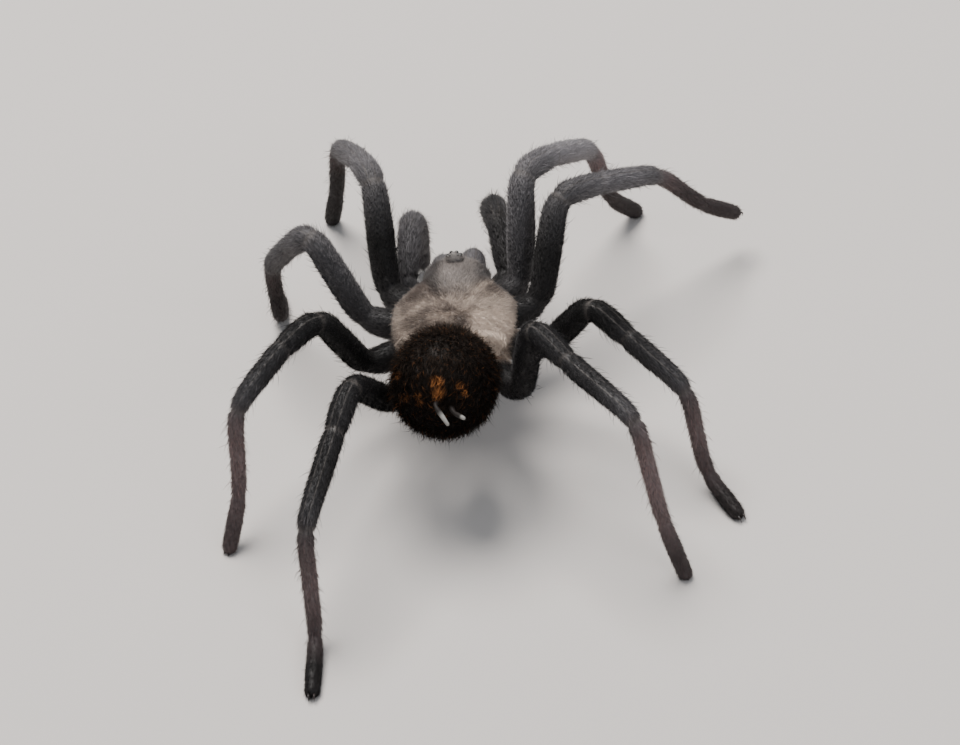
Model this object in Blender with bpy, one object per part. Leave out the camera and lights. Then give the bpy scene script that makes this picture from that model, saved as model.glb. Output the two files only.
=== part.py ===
"""A mature male tarantula at life size, walking, with its right second foot lifted off the floor.

+Y is the way the spider faces, +X is its right, +Z is up, and it stands on the floor at z = 0.
Every length is in millimetres until a mesh is made, and every solid reaches to the tips of its coat.
"""

import math

import bmesh
import bpy
import numpy as np

MM = 0.001
SIDE = {"l": -1, "r": 1}
GAP = 0.3  # slot between two pieces that meet
LIMB_SIDES = 10
SMALL_SIDES = 8

# The prosoma's own frame: its origin is the middle of the carapace, and BODY_PITCH tips its front down.
BODY_AT = np.array((-3.6, 6.4, 13.0))
BODY_PITCH = -5.0

# Carapace: a domed shield with a raised head region in front. It sits a little askew on the legs:
# SHELL_YAW turns the front of the shell, and all that it carries, to the spider's right.
SHELL_YAW = -3.0
SHELL_SHIFT = 0.15
CARAPACE_FRONT = 8.0
CARAPACE_BACK = -8.8
CARAPACE_HALF_WIDTH = 7.6
CARAPACE_WIDEST = -1.0
THORAX_REACH = 7.9
THORAX_SQUARENESS = 3.0  # 2 rounds its sides as an ellipse does
CARAPACE_RIM = 0.7
CARAPACE_UNDERSIDE = 0.1
CARAPACE_LIP = 0.3  # how far the underside keeps in from the rim
CARAPACE_RINGS = 15
CARAPACE_BACK_WIDTH = 0.25  # share of the half width that the square back edge keeps
CARAPACE_BACK_SLOPE = 5.5
THORAX_HEIGHT = 2.5
BACK_EDGE_HEIGHT = 0.35  # share of THORAX_HEIGHT left at the back edge
HEAD_HALF_WIDTH = 4.3
HEAD_HEIGHT = 3.9
HEAD_NARROWS = (0.8, 5.4)  # between these, the thorax's outline turns into the head's
HEAD_RISES = (-0.6, 4.4)
BROW = (6.2, 8.0)  # between these, the head's front drops by BROW_DROP
BROW_DROP = 0.35
HEAD_TAPER = 0.1  # share of its width that the head loses per millimetre past TAPER_FROM
TAPER_FROM = 6.4

# Prosoma underside: the sternum, and a coxa with its trochanter for each limb.
STERNUM_HALF_SIZE = (6.2, 7.4)
STERNUM_TOP = 0.3
STERNUM_BOTTOM = -3.9
STERNUM_SIDES = 16
# Share of the half size, and share of the height from the bottom.
STERNUM_BOWL = ((0.45, 0.0), (0.8, 0.12), (1.0, 0.45), (1.0, 0.8), (0.9, 1.0))
COXA_START = 0.4  # part of the way from the middle to the leg's base
COXA_START_Z = -2.4
COXA_STATIONS = (0.0, 0.45, 0.7, 0.85)

# Legs: lengths of femur, patella, tibia, metatarsus and tarsus, and where the femur starts.
SEGMENTS = ("femur", "patella", "tibia", "metatarsus", "tarsus")
LEG_LENGTHS = {
    1: (14.9, 7.0, 11.9, 10.9, 8.2),
    2: (14.2, 6.7, 9.7, 10.4, 7.3),
    3: (12.0, 5.9, 9.7, 12.0, 7.8),
    4: (14.6, 6.2, 12.9, 14.8, 8.9),
}
LEG_BASE = {
    "l1": (8.7, 7.9, -1.6),
    "l2": (11.4, 2.8, -1.6),
    "l3": (11.2, -5.2, -2.8),
    "l4": (7.7, -12.2, -3.4),
    "r1": (8.3, 7.9, -1.6),
    "r2": (10.6, 3.0, -1.6),
    "r3": (10.6, -5.2, -2.8),
    "r4": (7.9, -12.7, -3.4),
}
# Heading of each segment, in degrees forward of straight out to the side, and its climb in degrees.
# The tarsus has no climb of its own: it slopes down to the floor, unless the foot is lifted.
LEG_HEADING = {
    "l1": (88, 72, 69, 63, 58),
    "l2": (21, 48, 53, 77, 83),
    "l3": (-32, -44, -50, -67, -59),
    "l4": (-68, -70, -72, -81, -88),
    "r1": (74, 56, 61, 50, 48),
    "r2": (60, 38, 34, 31, 31),
    "r3": (-23, -41, -42, -59, -60),
    "r4": (-53, -52, -54, -47, -34),
}
LEG_CLIMB = {
    "l1": (65, -13, -26, -70),
    "l2": (67, -43, -48, -85),
    "l3": (65, -6, -18, -77),
    "l4": (51, -21, -18, -77),
    "r1": (71, -16, -32, -75),
    "r2": (62, -15, -20, -53),
    "r3": (53, -26, -23, -76),
    "r4": (73, -15, -2, -78),
}
LIFTED_TARSUS_CLIMB = {"r2": -38}
SOLE_CUT = 0.35  # depth that the floor takes off a resting tarsus's round end
BEND = 3.0  # length of each joint's curve along either segment

# Where a segment has its rings, from its start to its end.
SEGMENT_STATIONS = (0.0, 0.09, 0.19, 0.5, 0.81, 0.91, 1.0)
SHORT_STATIONS = (0.0, 0.18, 0.36, 0.64, 0.82, 1.0)
SHORTEST_WITH_ALL = 9.0
# Shrinking rings that round a limb's end: distance from the end in radii, and share of the radius.
ROUNDING = ((0.55, 0.88), (0.22, 0.62), (0.04, 0.3))

# Radius of each segment at its start, middle and end, coat included, and each leg's share of it.
LEG_RADII = {
    "coxa": (2.2, 2.15, 1.8),
    "femur": (1.72, 1.88, 1.68),
    "patella": (1.68, 1.75, 1.6),
    "tibia": (1.56, 1.56, 1.32),
    "metatarsus": (1.24, 1.16, 1.12),
    "tarsus": (1.12, 1.24, 1.12),
}
LEG_GIRTH = {1: 1.02, 2: 0.98, 3: 0.94, 4: 0.93}

PALP_SEGMENTS = ("femur", "patella", "tibia", "tarsus")
PALP_LENGTHS = (7.6, 4.6, 7.2, 4.3)
PALP_BASE = (6.4, 11.0, -2.6)
PALP_ROOT = (3.52, 6.6, -2.6)
PALP_HEADING = {"l": (96, 94, 88, 88), "r": (97, 97, 96, 95)}
PALP_CLIMB = {"l": (35, -28, -68, -80), "r": (42, -16, -48, -64)}
PALP_RADII = {
    "coxa": (1.4, 1.4, 1.35),
    "femur": (1.32, 1.46, 1.52),
    "patella": (1.52, 1.64, 1.7),
    "tibia": (1.7, 1.78, 1.48),
    "tarsus": (1.48, 1.42, 1.05),
}
PALP_BEND = 1.6

# Chelicerae, each on its own curve (forward, up) down in front of the head, and the fang under it.
# The right one is thrust further forward than the left, and lies nearer the middle.
CHELICERA_ACROSS = {"l": 2.1, "r": 1.55}
CHELICERA_THRUST = {"l": -0.4, "r": 0.9}  # moves all but its start forward
CHELICERA_PATH = ((8.4, 0.3), (11.0, 0.2), (12.4, -3.5))
CHELICERA_BEND = 2.4
CHELICERA_RADII = (1.64, 1.7, 1.3)
CHELICERA_TALL = 1.15
CHELICERA_ROOT = 0.9  # share of the first radius at the very start
CHELICERA_STATIONS = (0.12, 0.3, 0.45, 0.6, 0.75, 0.88)
CHELICERA_TIP = 0.8  # length that the rounding of its end is measured in
FANG_PATH = ((12.35, -3.85), (12.1, -5.3), (8.6, -4.8))
FANG_BEND = 1.2
FANG_RADII = (0.62, 0.48, 0.2)
FANG_STATIONS = (0.0, 0.2, 0.35, 0.5, 0.75, 1.0)

# The mound that carries the eyes. Its dome is a share of its half size, and of its height, for each ring.
EYE_TURRET_AT = 6.2
EYE_TURRET_HALF_SIZE = (1.15, 0.85, 0.5)
EYE_TURRET_DOME = ((0.96, 0.35), (0.8, 0.72), (0.5, 0.94), (0.2, 1.0))
EYE_TURRET_SIDES = 10

# Abdomen, in a frame at the waist: YAW turns its end to the left, and PITCH lifts it.
WAIST = (-0.1, -9.3, 0.5)
ABDOMEN_YAW = 3.6
ABDOMEN_PITCH = 16.7
ABDOMEN_LENGTH = 16.3
ABDOMEN_HALF_WIDTH = 6.7
ABDOMEN_HALF_HEIGHT = 6.8
ABDOMEN_RISE = 0.2
ABDOMEN_FULLNESS = 1.18  # over 1, the fullest girth lies behind the middle
ABDOMEN_BLUNTNESS = 2.06  # 2 rounds its ends as an ellipse does
ABDOMEN_RINGS = 13
ABDOMEN_SIDES = 20
PEDICEL_RADIUS = 0.7
PEDICEL_START_Z = -1.4
PEDICEL_END_UP = -0.8  # it meets the abdomen below its axis, clear of the carapace
SPINNERET_RADII = (0.52, 0.46, 0.32)
SPINNERET_GAP = 0.8  # more than GAP, because its root is cut aslant
SPINNERET_STATIONS = (0.0, 0.35, 0.7, 0.92, 1.0)
# Where each spinneret starts on the abdomen's end (across, up), and where it points (back, across, up).
SPINNERET_ROOT = {"l": (-0.25, 0.4), "r": (1.9, -0.6)}
SPINNERET_RUN = {"l": (1.2, 1.55, -2.1), "r": (1.5, 1.4, -0.2)}
STRAIGHT_BEND = 0.5  # for a path that has no real corner


def unit(vector):
    return vector / np.linalg.norm(vector)


def body_point(point):
    """A point of the prosoma's frame, in the spider's."""
    x, y, z = point
    pitch = math.radians(BODY_PITCH)
    y, z = y * math.cos(pitch) - z * math.sin(pitch), y * math.sin(pitch) + z * math.cos(pitch)
    return BODY_AT + (x, y, z)


def shell_point(point):
    """A point of the carapace's own frame, in the spider's."""
    x, y, z = point
    yaw = math.radians(SHELL_YAW)
    across, forward = x * math.cos(yaw) - y * math.sin(yaw), x * math.sin(yaw) + y * math.cos(yaw)
    return body_point((across + SHELL_SHIFT, forward, z))


def direction(side, heading, climb):
    """Unit vector of a limb segment on the left (side -1) or right (side 1)."""
    heading, climb = math.radians(heading), math.radians(climb)
    flat = math.cos(climb)
    return np.array((side * flat * math.cos(heading), flat * math.sin(heading), math.sin(climb)))


class Path:
    """A smooth line through points: straight runs joined by a curve of length bend either side."""

    STEPS = 14
    MOST_OF_A_RUN = 0.45

    def __init__(self, points, bend):
        points = [np.array(point, float) for point in points]
        line = [points[0]]
        middles = []
        for before, corner, after in zip(points, points[1:], points[2:]):
            shorter = min(np.linalg.norm(corner - before), np.linalg.norm(after - corner))
            reach = min(bend, self.MOST_OF_A_RUN * shorter)
            start = corner + unit(before - corner) * reach
            end = corner + unit(after - corner) * reach
            middles.append(len(line) + self.STEPS // 2)
            for t in np.linspace(0, 1, self.STEPS + 1):
                line.append((1 - t) ** 2 * start + 2 * t * (1 - t) * corner + t**2 * end)
        line.append(points[-1])
        self.line = np.array(line)
        steps = np.linalg.norm(np.diff(self.line, axis=0), axis=1)
        self.along = np.concatenate(([0], np.cumsum(steps)))
        self.joints = [0] + [self.along[i] for i in middles] + [self.along[-1]]
        self.tangents = np.gradient(self.line, self.along, axis=0)
        self.tangents /= np.linalg.norm(self.tangents, axis=1)[:, None]
        self.sides = self._carried_sides()

    def _carried_sides(self):
        """A sideways vector at each point, carried along the line without twist."""
        start = np.cross(self.tangents[0], (0.0, 0.0, 1.0))
        if np.linalg.norm(start) < 0.1:
            start = np.array((1.0, 0.0, 0.0))
        sides = [unit(start)]
        for tangent in self.tangents[1:]:
            sides.append(unit(sides[-1] - np.dot(sides[-1], tangent) * tangent))
        return np.array(sides)

    def at(self, s):
        """The point, tangent and sideways vector at distance s along the line."""
        return [
            np.array([np.interp(s, self.along, values[:, k]) for k in range(3)])
            for values in (self.line, self.tangents, self.sides)
        ]

    def ring(self, s, radius, sides, tall=1.0, facing=None):
        """A ring of points round the line at distance s along it, square to it or to the vector facing."""
        centre, tangent, side = self.at(s)
        tangent = unit(tangent if facing is None else facing)
        side = unit(side - np.dot(side, tangent) * tangent)
        up = np.cross(side, tangent)
        angles = np.linspace(0, 2 * math.pi, sides, endpoint=False)
        return centre + radius * (np.outer(np.cos(angles), side) + tall * np.outer(np.sin(angles), up))


def through_three(radii, u):
    """The parabola through a start, middle and end value."""
    start, middle, end = radii
    return start * (1 - u) * (1 - 2 * u) + 4 * middle * u * (1 - u) + end * u * (2 * u - 1)


def material(name, colour, roughness):
    made = bpy.data.materials.new(name)
    made.use_nodes = True
    shader = made.node_tree.nodes["Principled BSDF"]
    shader.inputs["Base Color"].default_value = (*colour, 1.0)
    shader.inputs["Roughness"].default_value = roughness
    shader.inputs["Metallic"].default_value = 0.0
    return made


def add(name, mesh, finish):
    mesh.materials.append(finish)
    piece = bpy.data.objects.new(name, mesh)
    bpy.context.scene.collection.objects.link(piece)
    return piece


def loft(name, rings, finish):
    """An object skinned over rings of points, with a flat cap at each end."""
    sides = len(rings[0])
    count = len(rings)
    faces = [tuple(range(sides)), tuple((count - 1) * sides + k for k in reversed(range(sides)))]
    for i in range(count - 1):
        for k in range(sides):
            a = i * sides + k
            b = i * sides + (k + 1) % sides
            faces.append((a, a + sides, b + sides, b))
    mesh = bpy.data.meshes.new(name)
    mesh.from_pydata((np.concatenate(rings) * MM).tolist(), [], faces)
    shell = bmesh.new()
    shell.from_mesh(mesh)
    bmesh.ops.recalc_face_normals(shell, faces=shell.faces)
    shell.to_mesh(mesh)
    shell.free()
    mesh.shade_smooth()
    mesh.set_sharp_from_angle(angle=math.radians(50))
    return add(name, mesh, finish)


def cut_at_floor(piece):
    """Takes away what reaches below the floor, and closes the cut with a flat sole."""
    shell = bmesh.new()
    shell.from_mesh(piece.data)
    geometry = shell.verts[:] + shell.edges[:] + shell.faces[:]
    up = (0, 0, 1)
    cut = bmesh.ops.bisect_plane(shell, geom=geometry, plane_co=(0, 0, 0), plane_no=up, clear_inner=True)
    rim = [item for item in cut["geom_cut"] if isinstance(item, bmesh.types.BMEdge)]
    bmesh.ops.contextual_create(shell, geom=rim)
    bmesh.ops.recalc_face_normals(shell, faces=shell.faces)
    shell.to_mesh(piece.data)
    shell.free()


def limb_points(side, lengths, base, root, headings, climbs):
    """The joints of a limb, from inside the prosoma to its end."""
    points = [body_point((side * x, y, z)) for x, y, z in (root, base)]
    for length, heading, climb in zip(lengths, headings, climbs):
        points.append(points[-1] + length * direction(side, heading, climb))
    return points


def segment_rings(path, index, radii, sides, rounded):
    """Rings of one limb segment between two slots, or up to a rounded end."""
    start = path.joints[index] + GAP / 2
    end = path.joints[index + 1] - (0 if rounded else GAP / 2)
    stations = SEGMENT_STATIONS if end - start > SHORTEST_WITH_ALL else SHORT_STATIONS
    last = end - radii[2] if rounded else end
    first_facing = path.at(path.joints[index])[1]
    last_facing = None if rounded else path.at(path.joints[index + 1])[1]
    rings = []
    for u in stations:
        facing = first_facing if u == 0 else last_facing if u == 1 else None
        rings.append(path.ring(start + u * (last - start), through_three(radii, u), sides, facing=facing))
    if rounded:
        rings += [path.ring(end - back * radii[2], share * radii[2], sides) for back, share in ROUNDING]
    return rings


def coxa(path, radii):
    """A coxa and trochanter, as a guide that joins the sternum."""
    end = path.joints[1] - GAP / 2
    rings = [path.ring(u * end, through_three(radii, u), LIMB_SIDES) for u in COXA_STATIONS]
    rings.append(path.ring(end, radii[2], LIMB_SIDES, facing=path.at(path.joints[1])[1]))
    piece = loft("coxa_guide", rings, FINISH["leg"])
    piece.hide_render = True
    piece.display_type = "WIRE"
    return piece


def leg(name):
    """One leg's five segments; returns its coxa guide."""
    side = SIDE[name[0]]
    number = int(name[1])
    lengths, base = LEG_LENGTHS[number], LEG_BASE[name]
    girths = {part: LEG_GIRTH[number] * np.array(radii) for part, radii in LEG_RADII.items()}
    root = (COXA_START * base[0], COXA_START * base[1], COXA_START_Z)
    climbs = LEG_CLIMB[name]
    standing = limb_points(side, lengths[:4], base, root, LEG_HEADING[name], climbs)
    if name in LIFTED_TARSUS_CLIMB:
        tarsus_climb = LIFTED_TARSUS_CLIMB[name]
    else:
        end_radius = girths["tarsus"][2]
        drop = standing[-1][2] - (end_radius - SOLE_CUT)
        tarsus_climb = -math.degrees(math.asin(drop / (lengths[4] - end_radius)))
    end = standing[-1] + lengths[4] * direction(side, LEG_HEADING[name][4], tarsus_climb)
    path = Path([*standing, end], BEND)
    for index, segment in enumerate(SEGMENTS, start=1):
        rings = segment_rings(path, index, girths[segment], LIMB_SIDES, segment == "tarsus")
        piece = loft(f"leg_{name}_{segment}", rings, FINISH["foot" if segment == "tarsus" else "leg"])
        if segment == "tarsus" and name not in LIFTED_TARSUS_CLIMB:
            cut_at_floor(piece)
    return coxa(path, girths["coxa"])


def palp(letter):
    """One pedipalp's four segments; returns its coxa guide."""
    side = SIDE[letter]
    points = limb_points(side, PALP_LENGTHS, PALP_BASE, PALP_ROOT, PALP_HEADING[letter], PALP_CLIMB[letter])
    path = Path(points, PALP_BEND)
    for index, segment in enumerate(PALP_SEGMENTS, start=1):
        rings = segment_rings(path, index, PALP_RADII[segment], LIMB_SIDES, segment == "tarsus")
        loft(f"palp_{letter}_{segment}", rings, FINISH["leg"])
    return coxa(path, PALP_RADII["coxa"])


def ease(value, start, end):
    """Rises smoothly from 0 at start to 1 at end."""
    u = min(1.0, max(0.0, (value - start) / (end - start)))
    return u * u * (3 - 2 * u)


def carapace_half_width(y):
    """Half the carapace's width: round at the back and widest behind the middle, then a narrower head."""
    from_widest = min(1.0, abs(y - CARAPACE_WIDEST) / THORAX_REACH)
    bulge = math.sqrt(1 - from_widest**THORAX_SQUARENESS)
    thorax = CARAPACE_HALF_WIDTH * (CARAPACE_BACK_WIDTH + (1 - CARAPACE_BACK_WIDTH) * bulge)
    head = ease(y, *HEAD_NARROWS)
    return thorax * (1 - head) + HEAD_HALF_WIDTH * head * (1 - HEAD_TAPER * max(0.0, y - TAPER_FROM))


def carapace_height(y):
    """Height of the carapace's middle line above its rim."""
    head = ease(y, *HEAD_RISES)
    back = ease(y, CARAPACE_BACK, CARAPACE_BACK + CARAPACE_BACK_SLOPE)
    thorax = THORAX_HEIGHT * (BACK_EDGE_HEIGHT + (1 - BACK_EDGE_HEIGHT) * back)
    return (thorax * (1 - head) + HEAD_HEIGHT * head) * (1 - BROW_DROP * ease(y, *BROW))


def carapace_top(x, y):
    """Height of the carapace's surface at (x, y) in the prosoma's frame."""
    across = min(1.0, abs(x) / carapace_half_width(y))
    return CARAPACE_RIM + carapace_height(y) * math.sqrt(1 - across**2.3)


def carapace():
    rings = []
    middle = (CARAPACE_FRONT + CARAPACE_BACK) / 2
    reach = (CARAPACE_FRONT - CARAPACE_BACK) / 2
    for y in middle - reach * np.cos(np.linspace(0.0, math.pi, CARAPACE_RINGS)):
        half = carapace_half_width(y)
        across = [half * math.sin(a) for a in np.radians(np.arange(-90, 91, 15))]
        ring = [(x, carapace_top(x, y)) for x in across]
        ring += [(half - CARAPACE_LIP, CARAPACE_UNDERSIDE + CARAPACE_LIP)]
        ring += [(CARAPACE_LIP - half, CARAPACE_UNDERSIDE + CARAPACE_LIP)]
        rings.append(np.array([shell_point((x, y, z)) for x, z in ring]))
    loft("carapace", rings, FINISH["carapace"])


def circle(sides):
    """Unit points round a circle."""
    angles = np.arange(sides) * 2 * math.pi / sides
    return np.stack((np.cos(angles), np.sin(angles)), axis=1)


def eye_turret():
    """The low mound that carries the eyes, on the front of the head."""
    half_x, half_y, tall = EYE_TURRET_HALF_SIZE
    shape = circle(EYE_TURRET_SIDES) * (half_x, half_y) + (0.0, EYE_TURRET_AT)
    rings = [np.array([shell_point((x, y, carapace_top(x, y) + GAP)) for x, y in shape])]
    floor = carapace_top(half_x, EYE_TURRET_AT) + 2 * GAP
    for share, lift in EYE_TURRET_DOME:
        shape = circle(EYE_TURRET_SIDES) * (half_x * share, half_y * share) + (0.0, EYE_TURRET_AT)
        rings.append(np.array([shell_point((x, y, floor + lift * tall)) for x, y in shape]))
    loft("eye_turret", rings, FINISH["shell"])


def sternum(coxae):
    """The prosoma's underside: a shallow bowl joined to the ten coxae."""
    rings = []
    for share, height in STERNUM_BOWL:
        z = STERNUM_BOTTOM + height * (STERNUM_TOP - STERNUM_BOTTOM)
        shape = circle(STERNUM_SIDES) * STERNUM_HALF_SIZE * share
        rings.append(np.array([body_point((x, y, z)) for x, y in shape]))
    piece = loft("sternum", rings, FINISH["under"])
    for guide in coxae:
        join = piece.modifiers.new("join_coxa", "BOOLEAN")
        join.operation = "UNION"
        join.object = guide


def head_path(letter, start, front, bend):
    """A curve in the upright plane of one chelicera: start stays where it is, and front is thrust forward."""
    across, thrust = SIDE[letter] * CHELICERA_ACROSS[letter], CHELICERA_THRUST[letter]
    points = [*start, *((y + thrust, z) for y, z in front)]
    return Path([shell_point((across, y, z)) for y, z in points], bend)


def chelicera(letter):
    path = head_path(letter, CHELICERA_PATH[:1], CHELICERA_PATH[1:], CHELICERA_BEND)
    length = path.along[-1]
    sizes = [(0.0, CHELICERA_ROOT * CHELICERA_RADII[0])]
    sizes += [(u * length, through_three(CHELICERA_RADII, u)) for u in CHELICERA_STATIONS]
    sizes += [(length - back * CHELICERA_TIP, share * CHELICERA_RADII[2]) for back, share in ROUNDING]
    rings = [path.ring(s, radius, LIMB_SIDES, CHELICERA_TALL) for s, radius in sizes]
    loft(f"chelicera_{letter}", rings, FINISH["leg"])


def tapered(name, path, radii, stations, finish):
    """A small round piece along a path."""
    rings = [path.ring(u * path.along[-1], through_three(radii, u), SMALL_SIDES) for u in stations]
    loft(name, rings, finish)


def fang(letter):
    path = head_path(letter, (), FANG_PATH, FANG_BEND)
    tapered(f"fang_{letter}", path, FANG_RADII, FANG_STATIONS, FINISH["fang"])


def abdomen_point(along, across, up):
    """A point of the abdomen's frame, whose axis runs back from the waist, in the spider's."""
    yaw, pitch = math.radians(ABDOMEN_YAW), math.radians(ABDOMEN_PITCH)
    back = along * math.cos(pitch) - up * math.sin(pitch)
    z = along * math.sin(pitch) + up * math.cos(pitch)
    x = across * math.cos(yaw) - back * math.sin(yaw)
    y = -across * math.sin(yaw) - back * math.cos(yaw)
    return body_point((WAIST[0] + x, WAIST[1] + y, WAIST[2] + z))


def abdomen_swell(u):
    """Share of the full girth at u of the length: an egg, fuller behind the middle."""
    return math.sqrt(1 - abs(2 * u**ABDOMEN_FULLNESS - 1) ** ABDOMEN_BLUNTNESS)


def abdomen_stations():
    turns = np.linspace(0.0, math.pi, ABDOMEN_RINGS + 2)[1:-1]
    return (1 - np.cos(turns)) / 2


def abdomen():
    rings = []
    for u in abdomen_stations():
        girth = abdomen_swell(u)
        shape = circle(ABDOMEN_SIDES) * (ABDOMEN_HALF_WIDTH * girth, ABDOMEN_HALF_HEIGHT * girth)
        middle = ABDOMEN_RISE * math.sin(math.pi * u)
        along = u * ABDOMEN_LENGTH
        rings.append(np.array([abdomen_point(along, across, middle + up) for across, up in shape]))
    loft("abdomen", rings, FINISH["abdomen"])


def pedicel():
    """The narrow waist between the sternum and the abdomen."""
    start = body_point((0.0, -STERNUM_HALF_SIZE[1] - GAP, PEDICEL_START_Z))
    end = abdomen_point(-GAP, 0.0, PEDICEL_END_UP)
    path = Path([start, (start + end) / 2, end], STRAIGHT_BEND)
    tapered("pedicel", path, (PEDICEL_RADIUS,) * 3, (0.0, 1.0), FINISH["under"])


def spinneret(letter):
    across, up = SPINNERET_ROOT[letter]
    run_back, run_across, run_up = SPINNERET_RUN[letter]
    root = abdomen_stations()[-1] * ABDOMEN_LENGTH + SPINNERET_GAP
    start = abdomen_point(root, across, up)
    end = abdomen_point(root + run_back, across + run_across, up + run_up)
    path = Path([start, (start + end) / 2, end], STRAIGHT_BEND)
    tapered(f"spinneret_{letter}", path, SPINNERET_RADII, SPINNERET_STATIONS, FINISH["under"])


def clear_scene():
    for item in list(bpy.data.objects):
        bpy.data.objects.remove(item)


clear_scene()
FINISH = {
    "leg": material("leg_coat", (0.030, 0.028, 0.029), 0.6),
    "foot": material("foot_coat", (0.022, 0.020, 0.022), 0.8),
    "carapace": material("carapace_coat", (0.20, 0.165, 0.135), 0.6),
    "abdomen": material("abdomen_coat", (0.022, 0.016, 0.013), 0.7),
    "under": material("underside_coat", (0.025, 0.022, 0.021), 0.7),
    "shell": material("eye_shell", (0.020, 0.017, 0.016), 0.35),
    "fang": material("fang_shell", (0.010, 0.008, 0.008), 0.2),
}
limbs = [leg(name) for name in LEG_HEADING] + [palp(letter) for letter in "lr"]
sternum(limbs)
carapace()
eye_turret()
abdomen()
pedicel()
for letter in "lr":
    chelicera(letter)
    fang(letter)
    spinneret(letter)
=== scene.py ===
"""The tarantula's looks: one skin over its flesh, its plates, eyes, fangs and claws, and a coat of hair.

The shapes repeat the CAD's sizes, in millimetres, and every piece is made in the row frame: +Y is the
way the spider faces, +X is its right, +Z is up.
"""

from collections import namedtuple
from math import asin, cos, degrees, pi, radians, sin

import bmesh
import bpy
import numpy as np
from mathutils import Matrix, Vector


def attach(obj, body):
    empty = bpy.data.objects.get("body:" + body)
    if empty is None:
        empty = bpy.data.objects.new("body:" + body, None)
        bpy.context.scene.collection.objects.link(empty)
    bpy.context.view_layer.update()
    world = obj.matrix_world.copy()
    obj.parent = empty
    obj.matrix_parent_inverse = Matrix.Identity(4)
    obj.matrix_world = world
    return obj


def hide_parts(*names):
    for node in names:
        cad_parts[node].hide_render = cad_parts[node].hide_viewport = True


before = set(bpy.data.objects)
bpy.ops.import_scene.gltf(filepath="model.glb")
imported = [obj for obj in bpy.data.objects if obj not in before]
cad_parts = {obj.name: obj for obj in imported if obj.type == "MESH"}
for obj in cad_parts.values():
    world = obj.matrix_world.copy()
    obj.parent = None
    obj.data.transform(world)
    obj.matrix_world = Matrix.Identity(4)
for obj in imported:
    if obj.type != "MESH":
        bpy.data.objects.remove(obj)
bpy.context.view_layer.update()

MM = 0.001
SIDE = {"l": -1, "r": 1}
LEGS = ("l1", "l2", "l3", "l4", "r1", "r2", "r3", "r4")

# ---- Sizes that repeat the CAD's ----

BODY_AT = np.array((-3.6, 6.4, 13.0))
BODY_PITCH = -5.0
SHELL_YAW = -3.0
SHELL_SHIFT = 0.15

CARAPACE_FRONT = 8.0
CARAPACE_BACK = -8.8
CARAPACE_HALF_WIDTH = 7.6
CARAPACE_WIDEST = -1.0
THORAX_REACH = 7.9
THORAX_SQUARENESS = 3.0
CARAPACE_RIM = 0.7
CARAPACE_BACK_WIDTH = 0.25
CARAPACE_BACK_SLOPE = 5.5
THORAX_HEIGHT = 2.5
BACK_EDGE_HEIGHT = 0.35
HEAD_HALF_WIDTH = 4.3
HEAD_HEIGHT = 3.9
HEAD_NARROWS = (0.8, 5.4)
HEAD_RISES = (-0.6, 4.4)
BROW = (6.2, 8.0)
BROW_DROP = 0.35
HEAD_TAPER = 0.1
TAPER_FROM = 6.4

COXA_START = 0.4
COXA_START_Z = -2.4

LEG_LENGTHS = {
    1: (14.9, 7.0, 11.9, 10.9, 8.2),
    2: (14.2, 6.7, 9.7, 10.4, 7.3),
    3: (12.0, 5.9, 9.7, 12.0, 7.8),
    4: (14.6, 6.2, 12.9, 14.8, 8.9),
}
LEG_BASE = {
    "l1": (8.7, 7.9, -1.6),
    "l2": (11.4, 2.8, -1.6),
    "l3": (11.2, -5.2, -2.8),
    "l4": (7.7, -12.2, -3.4),
    "r1": (8.3, 7.9, -1.6),
    "r2": (10.6, 3.0, -1.6),
    "r3": (10.6, -5.2, -2.8),
    "r4": (7.9, -12.7, -3.4),
}
LEG_HEADING = {
    "l1": (88, 72, 69, 63, 58),
    "l2": (21, 48, 53, 77, 83),
    "l3": (-32, -44, -50, -67, -59),
    "l4": (-68, -70, -72, -81, -88),
    "r1": (74, 56, 61, 50, 48),
    "r2": (60, 38, 34, 31, 31),
    "r3": (-23, -41, -42, -59, -60),
    "r4": (-53, -52, -54, -47, -34),
}
LEG_CLIMB = {
    "l1": (65, -13, -26, -70),
    "l2": (67, -43, -48, -85),
    "l3": (65, -6, -18, -77),
    "l4": (51, -21, -18, -77),
    "r1": (71, -16, -32, -75),
    "r2": (62, -15, -20, -53),
    "r3": (53, -26, -23, -76),
    "r4": (73, -15, -2, -78),
}
LIFTED_TARSUS_CLIMB = {"r2": -38}
SOLE_CUT = 0.35
BEND = 3.0
# Solid radius at the start, middle and end of coxa, femur, patella, tibia, metatarsus and tarsus.
LEG_RADII = (
    (2.2, 2.15, 1.8),
    (1.72, 1.88, 1.68),
    (1.68, 1.75, 1.6),
    (1.56, 1.56, 1.32),
    (1.24, 1.16, 1.12),
    (1.12, 1.24, 1.12),
)
LEG_GIRTH = {1: 1.02, 2: 0.98, 3: 0.94, 4: 0.93}
PALP_LENGTHS = (7.6, 4.6, 7.2, 4.3)
PALP_BASE = (6.4, 11.0, -2.6)
PALP_ROOT = (3.52, 6.6, -2.6)
PALP_HEADING = {"l": (96, 94, 88, 88), "r": (97, 97, 96, 95)}
PALP_CLIMB = {"l": (35, -28, -68, -80), "r": (42, -16, -48, -64)}
PALP_RADII = (
    (1.4, 1.4, 1.35),
    (1.32, 1.46, 1.52),
    (1.52, 1.64, 1.7),
    (1.7, 1.78, 1.48),
    (1.48, 1.42, 1.05),
)
PALP_BEND = 1.6

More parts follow.
